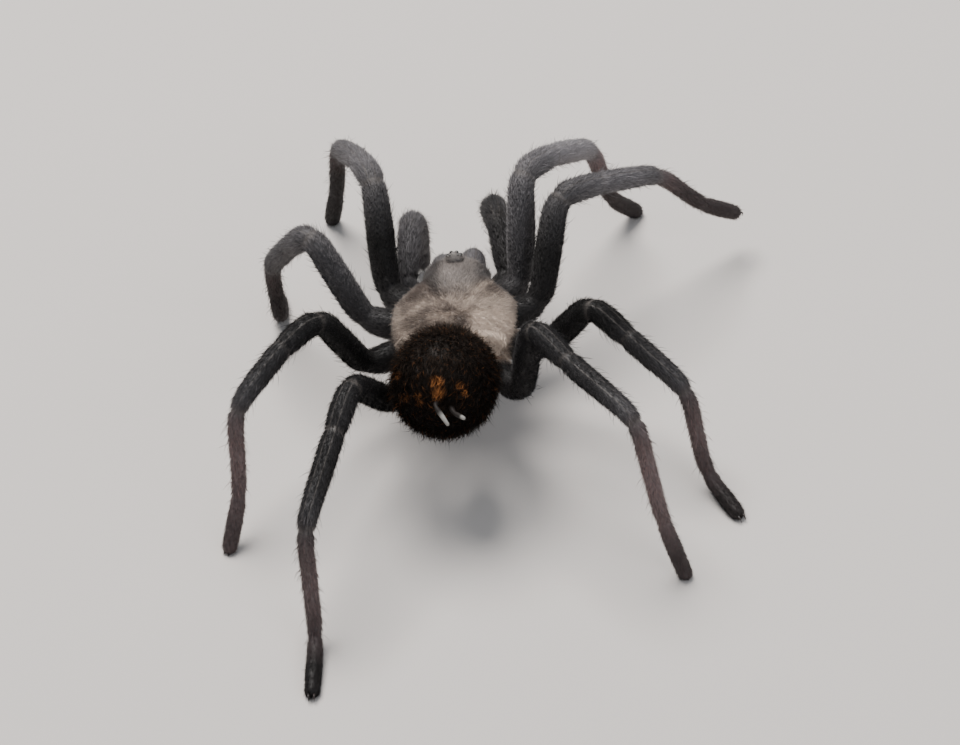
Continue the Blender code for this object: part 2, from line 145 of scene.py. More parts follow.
CHELICERA_ACROSS = {"l": 2.1, "r": 1.55}
CHELICERA_THRUST = {"l": -0.4, "r": 0.9}
CHELICERA_PATH = ((8.4, 0.3), (11.0, 0.2), (12.4, -3.5))
CHELICERA_BEND = 2.4
CHELICERA_RADII = (1.64, 1.7, 1.3)
CHELICERA_TALL = 1.15
CHELICERA_ROOT = 0.9
FANG_PATH = ((12.35, -3.85), (12.1, -5.3), (8.6, -4.8))
FANG_BEND = 1.2
FANG_RADII = (0.62, 0.48, 0.05)
EYE_TURRET_AT = 6.2
EYE_TURRET_HALF_SIZE = (1.15, 0.85, 0.5)

WAIST = (-0.1, -9.3, 0.5)
ABDOMEN_YAW = 3.6
ABDOMEN_PITCH = 16.7
ABDOMEN_LENGTH = 16.3
ABDOMEN_HALF_WIDTH = 6.7
ABDOMEN_HALF_HEIGHT = 6.8
ABDOMEN_RISE = 0.2
ABDOMEN_FULLNESS = 1.18
ABDOMEN_BLUNTNESS = 2.06
SPINNERET_OUT = 0.6  # how far behind the abdomen's end its solid starts
SPINNERET_RADII = (0.52, 0.46, 0.32)
SPINNERET_ROOT = {"l": (-0.25, 0.4), "r": (1.9, -0.6)}
SPINNERET_RUN = {"l": (1.2, 1.55, -2.1), "r": (1.5, 1.4, -0.2)}

# ---- Sizes of the skin and the coat ----

LIMB_COAT = 0.26  # how far the skin lies inside the solids
FOOT_COAT = 0.24
PALP_COAT = (0.26, 0.26, 0.34, 0.34, 0.34)  # from the coxa to the tarsus
CHELICERA_COAT = 0.2
ABDOMEN_COAT = 0.8
CARAPACE_COAT = 0.35
JOINT_DIP = 0.11  # how far the skin draws in at a joint
JOINT_REACH = 0.45
SKIN_VOXEL = 0.24
SKIN_SMOOTHING = 4
RING_STEP = 0.35
SKIN_SIDES = 20
TIP_STEPS = (0.9, 0.7, 0.5, 0.35, 0.2, 0.1)  # of the extra rings before a limb's rounded end
END_GAP = 0.02
END_SHARE = 0.02  # least share of the radius there
PALP_MARKS_END = 3.8  # a palp's markings stop before those of a leg's metatarsus
CHELICERA_MARKS = 2.5


# ---- Shapes ----


def around(count):
    """Evenly spaced angles of a full turn."""
    return np.arange(count) * 2 * pi / count


def unit(vectors):
    return vectors / np.linalg.norm(vectors, axis=-1, keepdims=True)


def along(values, vectors):
    """Each vector times its own value."""
    return np.asarray(values)[..., None] * vectors


def rotation(yaw, pitch):
    """Matrix that turns by pitch degrees about X, and then by yaw degrees about Z."""
    turn = Matrix.Rotation(radians(yaw), 3, "Z") @ Matrix.Rotation(radians(pitch), 3, "X")
    return np.array(turn)


class Frame:
    """A frame of its own within the spider's."""

    def __init__(self, turn, at):
        self.turn, self.at = turn, at

    def out(self, points):
        """Its points, in the spider's frame."""
        return np.asarray(points, float) @ self.turn.T + self.at

    def into(self, points):
        """The spider's points, in this frame."""
        return (points - self.at) @ self.turn


BODY = Frame(rotation(0.0, BODY_PITCH), BODY_AT)
SHELL = Frame(BODY.turn @ rotation(SHELL_YAW, 0.0), BODY.out((SHELL_SHIFT, 0.0, 0.0)))
# Across, forward and up from the waist.
BELLY = Frame(BODY.turn @ rotation(-ABDOMEN_YAW, -ABDOMEN_PITCH), BODY.out(WAIST))


def direction(side, heading, climb):
    heading, climb = radians(heading), radians(climb)
    flat = cos(climb)
    return np.array((side * flat * cos(heading), flat * sin(heading), sin(climb)))


class Path:
    """A smooth line through points: straight runs joined by a curve of length bend either side."""

    STEPS = 14
    MOST_OF_A_RUN = 0.45

    def __init__(self, points, bend):
        points = [np.array(point, float) for point in points]
        line = [points[0]]
        middles = []
        for before, corner, after in zip(points, points[1:], points[2:]):
            shorter = min(np.linalg.norm(corner - before), np.linalg.norm(after - corner))
            reach = min(bend, self.MOST_OF_A_RUN * shorter)
            start = corner + unit(before - corner) * reach
            end = corner + unit(after - corner) * reach
            middles.append(len(line) + self.STEPS // 2)
            for t in np.linspace(0, 1, self.STEPS + 1):
                line.append((1 - t) ** 2 * start + 2 * t * (1 - t) * corner + t**2 * end)
        line.append(points[-1])
        self.line = np.array(line)
        steps = np.linalg.norm(np.diff(self.line, axis=0), axis=1)
        self.along = np.concatenate(([0], np.cumsum(steps)))
        self.length = self.along[-1]
        self.joints = np.array([0] + [self.along[i] for i in middles] + [self.length])
        self.tangents = unit(np.gradient(self.line, self.along, axis=0))

    def at(self, s):
        """Points and tangents at distances s along the line."""
        point, tangent = (
            np.stack([np.interp(s, self.along, values[:, k]) for k in range(3)], axis=-1)
            for values in (self.line, self.tangents)
        )
        return point, unit(tangent)

    def nearest(self, points, step=0.4):
        """Distance along the line of its nearest point to each of these points."""
        stations = np.arange(0.0, self.length + step, step).clip(0, self.length)
        centres, tangents = self.at(stations)
        gaps = (centres**2).sum(1)[None, :] - 2 * points @ centres.T
        best = gaps.argmin(axis=1)
        shift = ((points - centres[best]) * tangents[best]).sum(1)
        return (stations[best] + shift.clip(-step, step)).clip(0, self.length)


class Limb:
    """A round limb along a path: its solid's radii for each run between joints, and its coat's depth."""

    def __init__(self, name, points, bend, radii, coat, tall=1.0):
        self.name = name
        self.path = Path(points, bend)
        self.radii = np.array(radii)
        self.coat = np.array(coat)
        self.tall = tall
        self.dip = 0.0 if name.startswith("chelicera") else JOINT_DIP
        self.end = self.path.length - coat[-1]

    def place(self, s):
        """Where s falls among the joints: 1.5 is half way from the first joint to the second."""
        return np.interp(s, self.path.joints, np.arange(len(self.path.joints)))

    def marks_place(self, s):
        """The place that its markings go by: a palp has no brown metatarsus, and a chelicera no rings."""
        if self.name.startswith("leg_"):
            return self.place(s)
        if self.name.startswith("palp_"):
            return np.minimum(self.place(s), PALP_MARKS_END)
        return np.full(len(s), CHELICERA_MARKS)

    def radius(self, s):
        """The skin's radius."""
        place = self.place(s)
        run = np.minimum(place.astype(int), len(self.radii) - 1)
        u = place - run
        skin = parabola(self.radii[run].T, u)
        skin = skin - np.interp(place, np.arange(len(self.coat)) + 0.5, self.coat)
        for joint in self.path.joints[1:-1]:
            skin = skin - self.dip * np.exp(-(((s - joint) / JOINT_REACH) ** 2))
        left = ((self.end - s) / skin).clip(0, 1)
        return skin * np.sqrt(1 - (1 - left) ** 2).clip(END_SHARE)

    def frame(self, s):
        """Centre, tangent, back (the upper side's direction) and flank at distances s."""
        centre, tangent = self.path.at(s)
        back = np.array((0.0, 0.0, 1.0)) - along(tangent[..., 2], tangent)
        back = unit(back + 1e-6)
        return centre, tangent, back, np.cross(tangent, back)

    def tube(self):
        """Points and faces of its skin as a closed tube."""
        last = self.end - END_GAP
        stations = np.append(np.arange(0.0, last, RING_STEP), last)
        stations = np.sort(np.append(stations, self.end - np.array(TIP_STEPS)))
        centre, _, back, flank = self.frame(stations)
        turn = around(SKIN_SIDES)
        ring = along(np.cos(turn)[None, :] * self.tall, back[:, None, :])
        ring = ring + along(np.sin(turn)[None, :], flank[:, None, :])
        points = centre[:, None, :] + self.radius(stations)[:, None, None] * ring
        return lofted(points)


def lofted(rings):
    """Points and faces of a closed surface over rings, an array of (ring, point, 3)."""
    count, sides, _ = rings.shape
    points = np.concatenate((rings.reshape(-1, 3), rings[0].mean(0)[None], rings[-1].mean(0)[None]))
    here = np.arange(sides)
    step = (here + 1) % sides
    faces = []
    for ring in range(count - 1):
        low, high = ring * sides, (ring + 1) * sides
        faces += np.stack((low + here, low + step, high + step, high + here), 1).tolist()
    first, last = np.full(sides, count * sides), np.full(sides, count * sides + 1)
    end = (count - 1) * sides
    faces += np.stack((first, step, here), 1).tolist()
    faces += np.stack((last, end + here, end + step), 1).tolist()
    return points, faces


def make_legs():
    legs = []
    for name in LEGS:
        side, number = SIDE[name[0]], int(name[1])
        base, lengths = LEG_BASE[name], LEG_LENGTHS[number]
        radii = LEG_GIRTH[number] * np.array(LEG_RADII)
        root = (COXA_START * base[0], COXA_START * base[1], COXA_START_Z)
        points = [BODY.out((side * x, y, z)) for x, y, z in (root, base)]
        for length, heading, climb in zip(lengths, LEG_HEADING[name], LEG_CLIMB[name]):
            points.append(points[-1] + length * direction(side, heading, climb))
        if name in LIFTED_TARSUS_CLIMB:
            climb = LIFTED_TARSUS_CLIMB[name]
        else:
            end_radius = radii[-1][2]
            drop = points[-1][2] - (end_radius - SOLE_CUT)
            climb = -degrees(asin(drop / (lengths[4] - end_radius)))
        points.append(points[-1] + lengths[4] * direction(side, LEG_HEADING[name][4], climb))
        coat = (LIMB_COAT,) * 4 + (FOOT_COAT,) * 2
        legs.append(Limb(f"leg_{name}", points, BEND, radii, coat))
    return legs


def make_palps():
    palps = []
    for letter, side in SIDE.items():
        points = [BODY.out((side * x, y, z)) for x, y, z in (PALP_ROOT, PALP_BASE)]
        for length, heading, climb in zip(PALP_LENGTHS, PALP_HEADING[letter], PALP_CLIMB[letter]):
            points.append(points[-1] + length * direction(side, heading, climb))
        palps.append(Limb(f"palp_{letter}", points, PALP_BEND, PALP_RADII, PALP_COAT))
    return palps


CHELICERA_INNER = (1.8, 5.6, 0.6)  # where its flesh starts, inside the head
# The flesh and hair that close the slot between the two chelicerae: a path and its radii.
BETWEEN_PATH = ((-0.25, 6.2, 0.6), (-0.25, 9.0, 0.5), (-0.25, 10.7, 0.3), (-0.25, 11.7, -2.2))
BETWEEN_RADII = ((1.2, 1.35, 1.4), (1.4, 1.35, 1.3), (1.3, 1.15, 0.9))


def head_path(letter, points):
    """Points (forward, up) in the upright plane of one chelicera, thrust forward with it."""
    across, thrust = SIDE[letter] * CHELICERA_ACROSS[letter], CHELICERA_THRUST[letter]
    return [SHELL.out((across, y + thrust, z)) for y, z in points]


def parabola(radii, u):
    """Runs through a start, middle and end value."""
    start, middle, end = radii
    return start * (1 - u) * (1 - 2 * u) + 4 * middle * u * (1 - u) + end * u * (2 * u - 1)


def make_chelicerae():
    """The two chelicerae, each with a run inside the head before its solid, and what closes their slot."""
    made = []
    for letter, side in SIDE.items():
        start = SHELL.out((side * CHELICERA_ACROSS[letter], *CHELICERA_PATH[0]))
        front = [start, *head_path(letter, CHELICERA_PATH[1:])]
        solid = Path(front, CHELICERA_BEND)
        shares = solid.joints / solid.length
        radii = [np.full(3, CHELICERA_ROOT * CHELICERA_RADII[0])]
        for low, high in zip(shares, shares[1:]):
            radii.append(parabola(CHELICERA_RADII, np.array((low, (low + high) / 2, high))))
        x, y, z = CHELICERA_INNER
        points = [SHELL.out((side * x, y, z)), *front]
        coat = (CHELICERA_COAT,) * len(radii)
        made.append(Limb(f"chelicera_{letter}", points, CHELICERA_BEND, radii, coat, CHELICERA_TALL))
    points = [SHELL.out(point) for point in BETWEEN_PATH]
    made.append(Limb("chelicera_between", points, CHELICERA_BEND, BETWEEN_RADII, (CHELICERA_COAT,) * 3))
    return made


def ease(value, start, end):
    """Rises smoothly from 0 at start to 1 at end."""
    u = np.clip((value - start) / (end - start), 0.0, 1.0)
    return u * u * (3 - 2 * u)


def carapace_half_width(y):
    from_widest = np.minimum(1.0, abs(y - CARAPACE_WIDEST) / THORAX_REACH)
    bulge = np.sqrt(1 - from_widest**THORAX_SQUARENESS)
    thorax = CARAPACE_HALF_WIDTH * (CARAPACE_BACK_WIDTH + (1 - CARAPACE_BACK_WIDTH) * bulge)
    share = ease(y, *HEAD_NARROWS)
    taper = 1 - HEAD_TAPER * np.maximum(0.0, y - TAPER_FROM)
    return thorax * (1 - share) + HEAD_HALF_WIDTH * share * taper


def carapace_height(y):
    head = ease(y, *HEAD_RISES)
    back = ease(y, CARAPACE_BACK, CARAPACE_BACK + CARAPACE_BACK_SLOPE)
    thorax = THORAX_HEIGHT * (BACK_EDGE_HEIGHT + (1 - BACK_EDGE_HEIGHT) * back)
    return (thorax * (1 - head) + HEAD_HEIGHT * head) * (1 - BROW_DROP * ease(y, *BROW))


DOME_SQUARENESS = 2.3
FOVEA_Y = -2.4
FOVEA_SIZE = (1.3, 0.32)
FOVEA_DEPTH = 0.55
GROOVE_HEADINGS = (33, 4, -27, -62)  # of the radial grooves, in degrees forward of sideways
GROOVE_REACH = (0.9, 6.6)  # from and to, outward from the fovea
GROOVE_FADES = (0.5, 1.0)  # shares of its length
GROOVE_DEPTH = 0.2
GROOVE_WIDTH = 0.42
NECK_GROOVE = ((1.0, -1.2), (4.6, 4.4))  # from and to, on the right side, between thorax and head
NECK_FADES = (0.7, 1.0)
NECK_DEPTH = 0.32


def off_line(x, y, start, end):
    """Distance from the straight line between two points, and the share of it passed."""
    run = np.subtract(end, start)
    share = ((x - start[0]) * run[0] + (y - start[1]) * run[1]) / (run @ run)
    held = share.clip(0, 1)
    return np.hypot(x - start[0] - held * run[0], y - start[1] - held * run[1]), share


def groove(x, y, ends, fades):
    """Strength of a groove between two points, which fades out at the far one."""
    gap, share = off_line(x, y, *ends)
    return np.exp(-((gap / GROOVE_WIDTH) ** 2)) * (1 - ease(share, *fades))


def carapace_relief(x, y):
    """Depth of the fovea and the grooves below the smooth dome."""
    x = abs(x)
    depth = FOVEA_DEPTH * np.exp(-((x / FOVEA_SIZE[0]) ** 4) - ((y - FOVEA_Y) / FOVEA_SIZE[1]) ** 2)
    for heading in GROOVE_HEADINGS:
        turn = radians(heading)
        ends = [(reach * cos(turn), FOVEA_Y + reach * sin(turn)) for reach in GROOVE_REACH]
        depth = depth + GROOVE_DEPTH * groove(x, y, ends, GROOVE_FADES)
    return depth + NECK_DEPTH * groove(x, y, NECK_GROOVE, NECK_FADES)


def carapace_top(x, y):
    across = np.minimum(1.0, abs(x) / carapace_half_width(y))
    return CARAPACE_RIM + carapace_height(y) * np.sqrt(1 - across**DOME_SQUARENESS)


PLATE_ROWS = 110
PLATE_COLUMNS = 97
PLATE_CROWDING = 0.12  # how far the rows shift towards both ends
PLATE_ENDS = (CARAPACE_BACK + 0.1, CARAPACE_FRONT - 0.05)
PLATE_MARGIN = 0.12  # at its sides
PLATE_RIM = (0.25, 0.3, 0.9)  # heights of its outer and inner edge, and the inner edge's share of the width
PLATE_FOOT = 0.1  # how far its edge lies under the solid's rim
PLATE_REAR_RISES = (CARAPACE_BACK - 0.5, CARAPACE_BACK + 0.7)
PLATE_FRONT_FALLS = (CARAPACE_FRONT - 0.9, CARAPACE_FRONT + 0.25)
PLATE_FRONT_DROP = 0.55
GROOVES_FROM = (0.1, 0.8)  # heights over the edge between which the grooves come in


def carapace_plate():
    """The shield's surface, a coat's depth inside its solid, as a closed shell."""
    y = np.linspace(*PLATE_ENDS, PLATE_ROWS)
    y = y + PLATE_CROWDING * np.sin(np.linspace(0, 2 * pi, PLATE_ROWS))
    turn = np.linspace(-pi / 2, pi / 2, PLATE_COLUMNS)
    half = carapace_half_width(y) - PLATE_MARGIN
    x = half[:, None] * np.sin(turn)[None, :]
    yy = np.broadcast_to(y[:, None], x.shape)
    front = 1 - ease(yy, *PLATE_FRONT_FALLS) ** 2 * PLATE_FRONT_DROP
    rear = ease(yy, *PLATE_REAR_RISES)
    tall = (carapace_top(x, yy) - CARAPACE_RIM - CARAPACE_COAT).clip(0.0) * front * rear
    z = CARAPACE_RIM - PLATE_FOOT + tall - carapace_relief(x, yy) * ease(tall, *GROOVES_FROM)
    top = np.stack((x, yy, z), axis=-1)
    outer, inner, share = PLATE_RIM
    rim = top[:, [-1, 0]].copy()
    rim[..., 2] = outer
    under = rim.copy()
    under[..., 0] *= share
    under[..., 2] = inner
    rings = np.concatenate((top, rim[:, :1], under[:, :1], under[:, 1:], rim[:, 1:]), axis=1)
    return lofted(SHELL.out(rings))


def abdomen_swell(u):
    """Girth by the share of its length, from 0 at the waist to 1 and back to 0."""
    return np.sqrt((1 - abs(2 * u.clip(0, 1) ** ABDOMEN_FULLNESS - 1) ** ABDOMEN_BLUNTNESS).clip(0))


ABDOMEN_RINGS = 60
ABDOMEN_SIDES = 72
ABDOMEN_SKIN_START = 0.3  # behind the waist
WRINKLE = 0.006
WRINKLES = 9


def abdomen_shape():
    turns = np.linspace(0.0, pi, ABDOMEN_RINGS)[1:-1]
    u = (1 - np.cos(turns)) / 2
    girth = abdomen_swell(u)
    angle = around(ABDOMEN_SIDES)
    across = (ABDOMEN_HALF_WIDTH - ABDOMEN_COAT) * girth[:, None] * np.cos(angle)
    up = (ABDOMEN_HALF_HEIGHT - ABDOMEN_COAT) * girth[:, None] * np.sin(angle)
    up = up + ABDOMEN_RISE * np.sin(pi * u)[:, None]
    back = ABDOMEN_SKIN_START + u * (ABDOMEN_LENGTH - ABDOMEN_COAT - ABDOMEN_SKIN_START)
    wrinkle = 1 + WRINKLE * np.sin(WRINKLES * u[:, None] * pi + 2 * np.cos(2 * angle))
    back = np.broadcast_to(back[:, None], across.shape)
    return lofted(BELLY.out(np.stack((across * wrinkle, -back, up * wrinkle), axis=-1)))


STERNUM_HALF_SIZE = (6.2, 7.4)
SHIELD_REACH = 8.1
SHIELD_SHARE = (0.9, 0.92)  # of the carapace's breadth and length, over the flesh under it
# Rings of the flesh from the sternum up: share of the full size, height, share of the carapace's outline.
CORE_RINGS = (
    (0.45, -3.45, 0),
    (0.8, -3.1, 0),
    (0.96, -2.0, 0),
    (0.97, -0.8, 0.5),
    (0.96, 0.2, 1),
    (0.86, 0.75, 1),
    (0.5, 1.3, 1),
)
CORE_SIDES = 48
CORE_SQUARING = 0.6  # power of the cosine; below 1 fills out its flanks


def core_shape():
    """The prosoma's flesh under the carapace, down to the sternum."""
    angle = around(CORE_SIDES)
    half_x, half_y = STERNUM_HALF_SIZE
    breadth, length = SHIELD_SHARE
    rings = []
    for share, z, blend in CORE_RINGS:
        low = np.stack((half_x * share * np.cos(angle), half_y * share * np.sin(angle)), axis=-1)
        y = (CARAPACE_FRONT + CARAPACE_BACK) / 2 + length * share * SHIELD_REACH * np.sin(angle)
        squared = np.sign(np.cos(angle)) * abs(np.cos(angle)) ** CORE_SQUARING
        high = np.stack((breadth * share * carapace_half_width(y) * squared, y), axis=-1)
        level = np.full(CORE_SIDES, z)
        under = BODY.out(np.column_stack((low, level)))
        over = SHELL.out(np.column_stack((high, level)))
        rings.append(under * (1 - blend) + over * blend)
    return lofted(np.array(rings))


# ---- Meshes ----


def add_mesh(name, points, faces):
    mesh = bpy.data.meshes.new(name)
    points = np.array(points, float)
    points[:, 2] = points[:, 2].clip(0.0)
    mesh.from_pydata((points * MM).tolist(), [], faces)
    shell = bmesh.new()
    shell.from_mesh(mesh)
    bmesh.ops.recalc_face_normals(shell, faces=shell.faces)
    shell.to_mesh(mesh)
    shell.free()
    mesh.shade_smooth()
    piece = bpy.data.objects.new(name, mesh)
    bpy.context.scene.collection.objects.link(piece)
    return piece


def joined(shapes):
    """One list of points and faces from several."""
    points, faces, start = [], [], 0
    for more, its_faces in shapes:
        points.append(more)
        faces += [[start + k for k in face] for face in its_faces]
        start += len(more)
    return np.concatenate(points), faces


def finish_piece(piece, material, slot, *nodes):
    piece.data.materials.append(material)
    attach(piece, "root")
    if nodes:
        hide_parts(*nodes)
    return piece


def set_values(mesh, name, values):
    mesh.attributes.new(name, "FLOAT", "POINT").data.foreach_set("value", np.asarray(values, np.float32))


def one_skin(shapes):
    """All flesh as one surface: the shapes are merged on a grid of voxels and smoothed."""
    points, faces = joined(shapes)
    piece = add_mesh("skin_guide", points / MM, faces)
    grid = piece.modifiers.new("one_surface", "REMESH")
    grid.mode = "VOXEL"
    grid.voxel_size = SKIN_VOXEL
    relax = piece.modifiers.new("relax", "SMOOTH")
    relax.factor = 0.5
    relax.iterations = SKIN_SMOOTHING
    mesh = bpy.data.meshes.new_from_object(piece.evaluated_get(bpy.context.evaluated_depsgraph_get()))
    bpy.data.objects.remove(piece)
    mesh.transform(Matrix.Scale(MM, 4))
    mesh.name = "skin"
    mesh.shade_smooth()
    skin = bpy.data.objects.new("skin", mesh)
    bpy.context.scene.collection.objects.link(skin)
    return skin


def points_of(mesh):
    """Its vertices in millimetres, their normals, and its triangles."""
    mesh.calc_loop_triangles()
    points = np.empty(len(mesh.vertices) * 3)
    mesh.vertices.foreach_get("co", points)
    normals = np.empty(len(mesh.vertices) * 3)
    mesh.vertex_normals.foreach_get("vector", normals)
    faces = np.empty(len(mesh.loop_triangles) * 3, int)
    mesh.loop_triangles.foreach_get("vertices", faces)
    return points.reshape(-1, 3) / MM, normals.reshape(-1, 3), faces.reshape(-1, 3)


# ---- Where a point is on the spider ----

ABDOMEN, CORE, PLATE = -1, -2, -3  # stand for a limb's number
CORE_MIDDLE = (0.0, 0.0, -1.5)
CORE_HALF_SIZE = (6.4, 7.6, 3.0)
ABDOMEN_SPOTS_START = -0.6  # nothing ahead of this, forward from the waist, counts as abdomen
NEVER = 9.0


class Spots:
    """Facts about points of the skin: the limb each is on, how far along it, and how its hair lies."""

    def __init__(self, points, normals, plate=False):
        count = len(points)
        self.points, self.normals = points, normals
        self.limb = np.full(count, PLATE)
        self.place = np.full(count, -1.0)
        self.marks = np.full(count, -1.0)
        self.share = np.zeros(count)
        self.up = np.zeros(count)
        self.turn = np.zeros(count)
        self.lie = np.zeros((count, 3))
        if plate:
            self.on_plate()
            return
        local = BELLY.into(points)
        u = (-local[:, 1] / ABDOMEN_LENGTH).clip(0, 1)
        lift = local[:, 2] - ABDOMEN_RISE * np.sin(pi * u)
        girth = abdomen_swell(u).clip(0.05)
        reach = np.hypot(local[:, 0] / ABDOMEN_HALF_WIDTH, lift / ABDOMEN_HALF_HEIGHT)
        best = (reach - girth) * ABDOMEN_HALF_HEIGHT
        best = np.where(local[:, 1] > ABDOMEN_SPOTS_START, NEVER, best)
        self.limb[:] = ABDOMEN
        self.share[:] = u
        self.turn[:] = np.arctan2(lift, local[:, 0])
        self.lie[:] = BELLY.turn @ (0.0, -1.0, 0.0)
        body = (BODY.into(points) - CORE_MIDDLE) / CORE_HALF_SIZE
        core = (np.sqrt((body**2).sum(1)) - 1) * CORE_HALF_SIZE[2]
        here = core < best
        self.limb[here] = CORE
        best = np.where(here, core, best)
        self.lie[here] = BODY.turn @ (0.0, -1.0, 0.0)
        for number, limb in enumerate(limbs):
            s = limb.path.nearest(points)
            centre, tangent, back, flank = limb.frame(s)
            out = points - centre
            wide, tall, past = (out * flank).sum(1), (out * back).sum(1), (out * tangent).sum(1)
            gap = np.sqrt(wide**2 + (tall / limb.tall) ** 2 + past**2) - limb.radius(s)
            here = gap < best
            best = np.where(here, gap, best)
            self.limb[here] = number
            self.place[here] = limb.place(s)[here]
            self.marks[here] = limb.marks_place(s)[here]
            self.share[here] = s[here] / limb.path.length
            self.up[here] = (tall / np.hypot(wide, tall).clip(1e-6))[here]
            self.turn[here] = np.arctan2(wide, tall)[here]
            self.lie[here] = tangent[here]

    def on_plate(self):
        local = SHELL.into(self.points)
        out = np.stack((local[:, 0], local[:, 1] - FOVEA_Y, np.zeros(len(local))), axis=1)
        self.lie[:] = unit(out + 1e-6) @ SHELL.turn.T
        self.share[:] = (local[:, 1] - CARAPACE_BACK) / (CARAPACE_FRONT - CARAPACE_BACK)
        self.turn[:] = local[:, 0]

    def some(self, chosen):
        """The same facts about some of the points."""
        made = object.__new__(Spots)
        for name, values in vars(self).items():
            setattr(made, name, values[chosen])
        return made


def scattered(points, normals, faces, per_mm2):
    """Random places on triangles, per_mm2 of each triangle's own, with their normals."""
    a, b, c = (points[faces[:, k]] for k in range(3))
    area = np.linalg.norm(np.cross(b - a, c - a), axis=1) / 2
    total = np.cumsum(area * per_mm2)
    chosen = np.searchsorted(total, rng.random(int(total[-1])) * total[-1])
    r1, r2 = np.sqrt(rng.random(len(chosen))), rng.random(len(chosen))
    weights = np.stack((1 - r1, r1 * (1 - r2), r1 * r2), axis=1)
    corners = faces[chosen]
    where = (points[corners] * weights[..., None]).sum(1)
    return where, unit((normals[corners] * weights[..., None]).sum(1))


# ---- Hair ----

PATCH = 0.003  # of the UV map, for each hair
ROOT_DEPTH = 0.08
SIDES_OF_A_HAIR = np.radians((90.0, 210.0, 330.0))
# Least multiple of a style's value, and the spread over it.
LENGTH_VARIES = LIFT_VARIES = (0.7, 0.6)
THICK_VARIES = (0.75, 0.5)
DROOP_VARIES = (0.5, 1.0)
KNEE_THICK = 0.8

# A kind of hair: roots per square millimetre, length, thickness, and angles to the skin in degrees.
# One with no droop is straight, and one with a droop bends at its knee.
Style = namedtuple("Style", "density length thick lift droop stray", defaults=(None, 14.0))


class Build:
    """How a hair is built: its faces' corners and sizes, and each vertex's UV offset and height."""

    def __init__(self, corners, sizes, offsets, tips):
        self.corners, self.sizes = np.array(corners), np.array(sizes)
        self.offsets, self.tips = np.array(offsets) * PATCH, np.array(tips)


STRAIGHT = Build(
    (0, 1, 3, 1, 2, 3, 2, 0, 3, 2, 1, 0),
    (3, 3, 3, 3),
    ((0, 0), (0.5, 0), (1, 0), (0.5, 1)),
    (0.0, 0.0, 0.0, 1.0),
)
BENT = Build(
    (0, 1, 4, 3, 1, 2, 5, 4, 2, 0, 3, 5, 3, 4, 6, 4, 5, 6, 5, 3, 6, 2, 1, 0),
    (4, 4, 4, 3, 3, 3, 3),
    ((0, 0), (0.5, 0), (1, 0), (0, 0.5), (0.5, 0.5), (1, 0.5), (0.5, 1)),
    (0.0, 0.0, 0.0, 0.5, 0.5, 0.5, 1.0),
)
BUILD_OF = {4: STRAIGHT, 7: BENT}  # by how many vertices a hair has


def varied(count, least, spread):
    """A random multiple for each hair."""
    return least + spread * rng.random(count)


def grow(spots, style):
    """Vertices of tapered three-sided hairs, as an array of (hair, vertex, 3)."""
    count = len(spots.points)
    normal = spots.normals
    lie = spots.lie - along((spots.lie * normal).sum(1), normal)
    lie = unit(lie + 1e-4 * rng.standard_normal((count, 3)))
    side = np.cross(normal, lie)
    stray = np.radians(style.stray) * rng.standard_normal(count)
    lie = along(np.cos(stray), lie) + along(np.sin(stray), side)
    side = np.cross(normal, lie)
    length = style.length * varied(count, *LENGTH_VARIES)
    lift = np.radians(style.lift * varied(count, *LIFT_VARIES))
    low = along(np.cos(lift), lie) + along(np.sin(lift), normal)
    up = np.cross(low, side)
    thick = style.thick * varied(count, *THICK_VARIES)
    root = spots.points - ROOT_DEPTH * normal
    rings = [cos(angle) * side - sin(angle) * up for angle in SIDES_OF_A_HAIR]
    points = [root + along(thick, ring) for ring in rings]
    if style.droop is None:
        points.append(root + along(length, low))
    else:
        droop = np.radians(style.droop * varied(count, *DROOP_VARIES))
        high = along(np.cos(droop), lie) + along(np.sin(droop), normal)
        knee = root + along(0.5 * length, low)
        points += [knee + along(KNEE_THICK * thick, ring) for ring in rings]
        points.append(knee + along(0.5 * length, high))
    points = np.stack(points, axis=1)
    points[..., 2] = points[..., 2].clip(0.01)
    return points


def hair_mesh(name, groups):
    """A mesh of hairs from groups of (vertices, UV place of each root, attributes of each hair)."""
    points, loops, starts, uvs, tips = [], [], [], [], []
    values = {key: [] for key in groups[0][2]}
    vertices = corners = 0
    for hairs, patches, each in groups:
        count, size, _ = hairs.shape
        build = BUILD_OF[size]
        base = np.arange(count)[:, None]
        face_starts = np.concatenate(([0], np.cumsum(build.sizes)[:-1]))
        points.append(hairs.reshape(-1, 3))
        loops.append((vertices + base * size + build.corners).ravel())
        starts.append((corners + base * len(build.corners) + face_starts).ravel())
        uvs.append((patches[:, None, :] + build.offsets)[:, build.corners].reshape(-1, 2))
        tips.append(np.tile(build.tips, count))
        for key, of_hair in each.items():
            values[key].append(np.repeat(of_hair, size))
        vertices += count * size
        corners += count * len(build.corners)
    mesh = bpy.data.meshes.new(name)
    mesh.vertices.add(vertices)
    mesh.vertices.foreach_set("co", (np.concatenate(points) * MM).astype(np.float32).ravel())
    mesh.loops.add(corners)
    mesh.loops.foreach_set("vertex_index", np.concatenate(loops).astype(np.int32))
    starts = np.concatenate(starts)
    mesh.polygons.add(len(starts))
    mesh.polygons.foreach_set("loop_start", starts.astype(np.int32))
    mesh.update(calc_edges=True)
    mesh.shade_smooth()
    layer = mesh.uv_layers.new(name="OFBake")
    layer.uv.foreach_set("vector", np.concatenate(uvs).astype(np.float32).ravel())
    set_values(mesh, "tip", np.concatenate(tips))
    for key, parts in values.items():
        set_values(mesh, key, np.concatenate(parts))
    piece = bpy.data.objects.new(name, mesh)
    bpy.context.scene.collection.objects.link(piece)
    return piece


def patches_at(u, spots):
    """UV places u across an unwrap, and up it by each spot's share."""
    return np.stack((u, 0.01 + 0.97 * spots.share), axis=1).clip(0.001, 1 - PATCH)


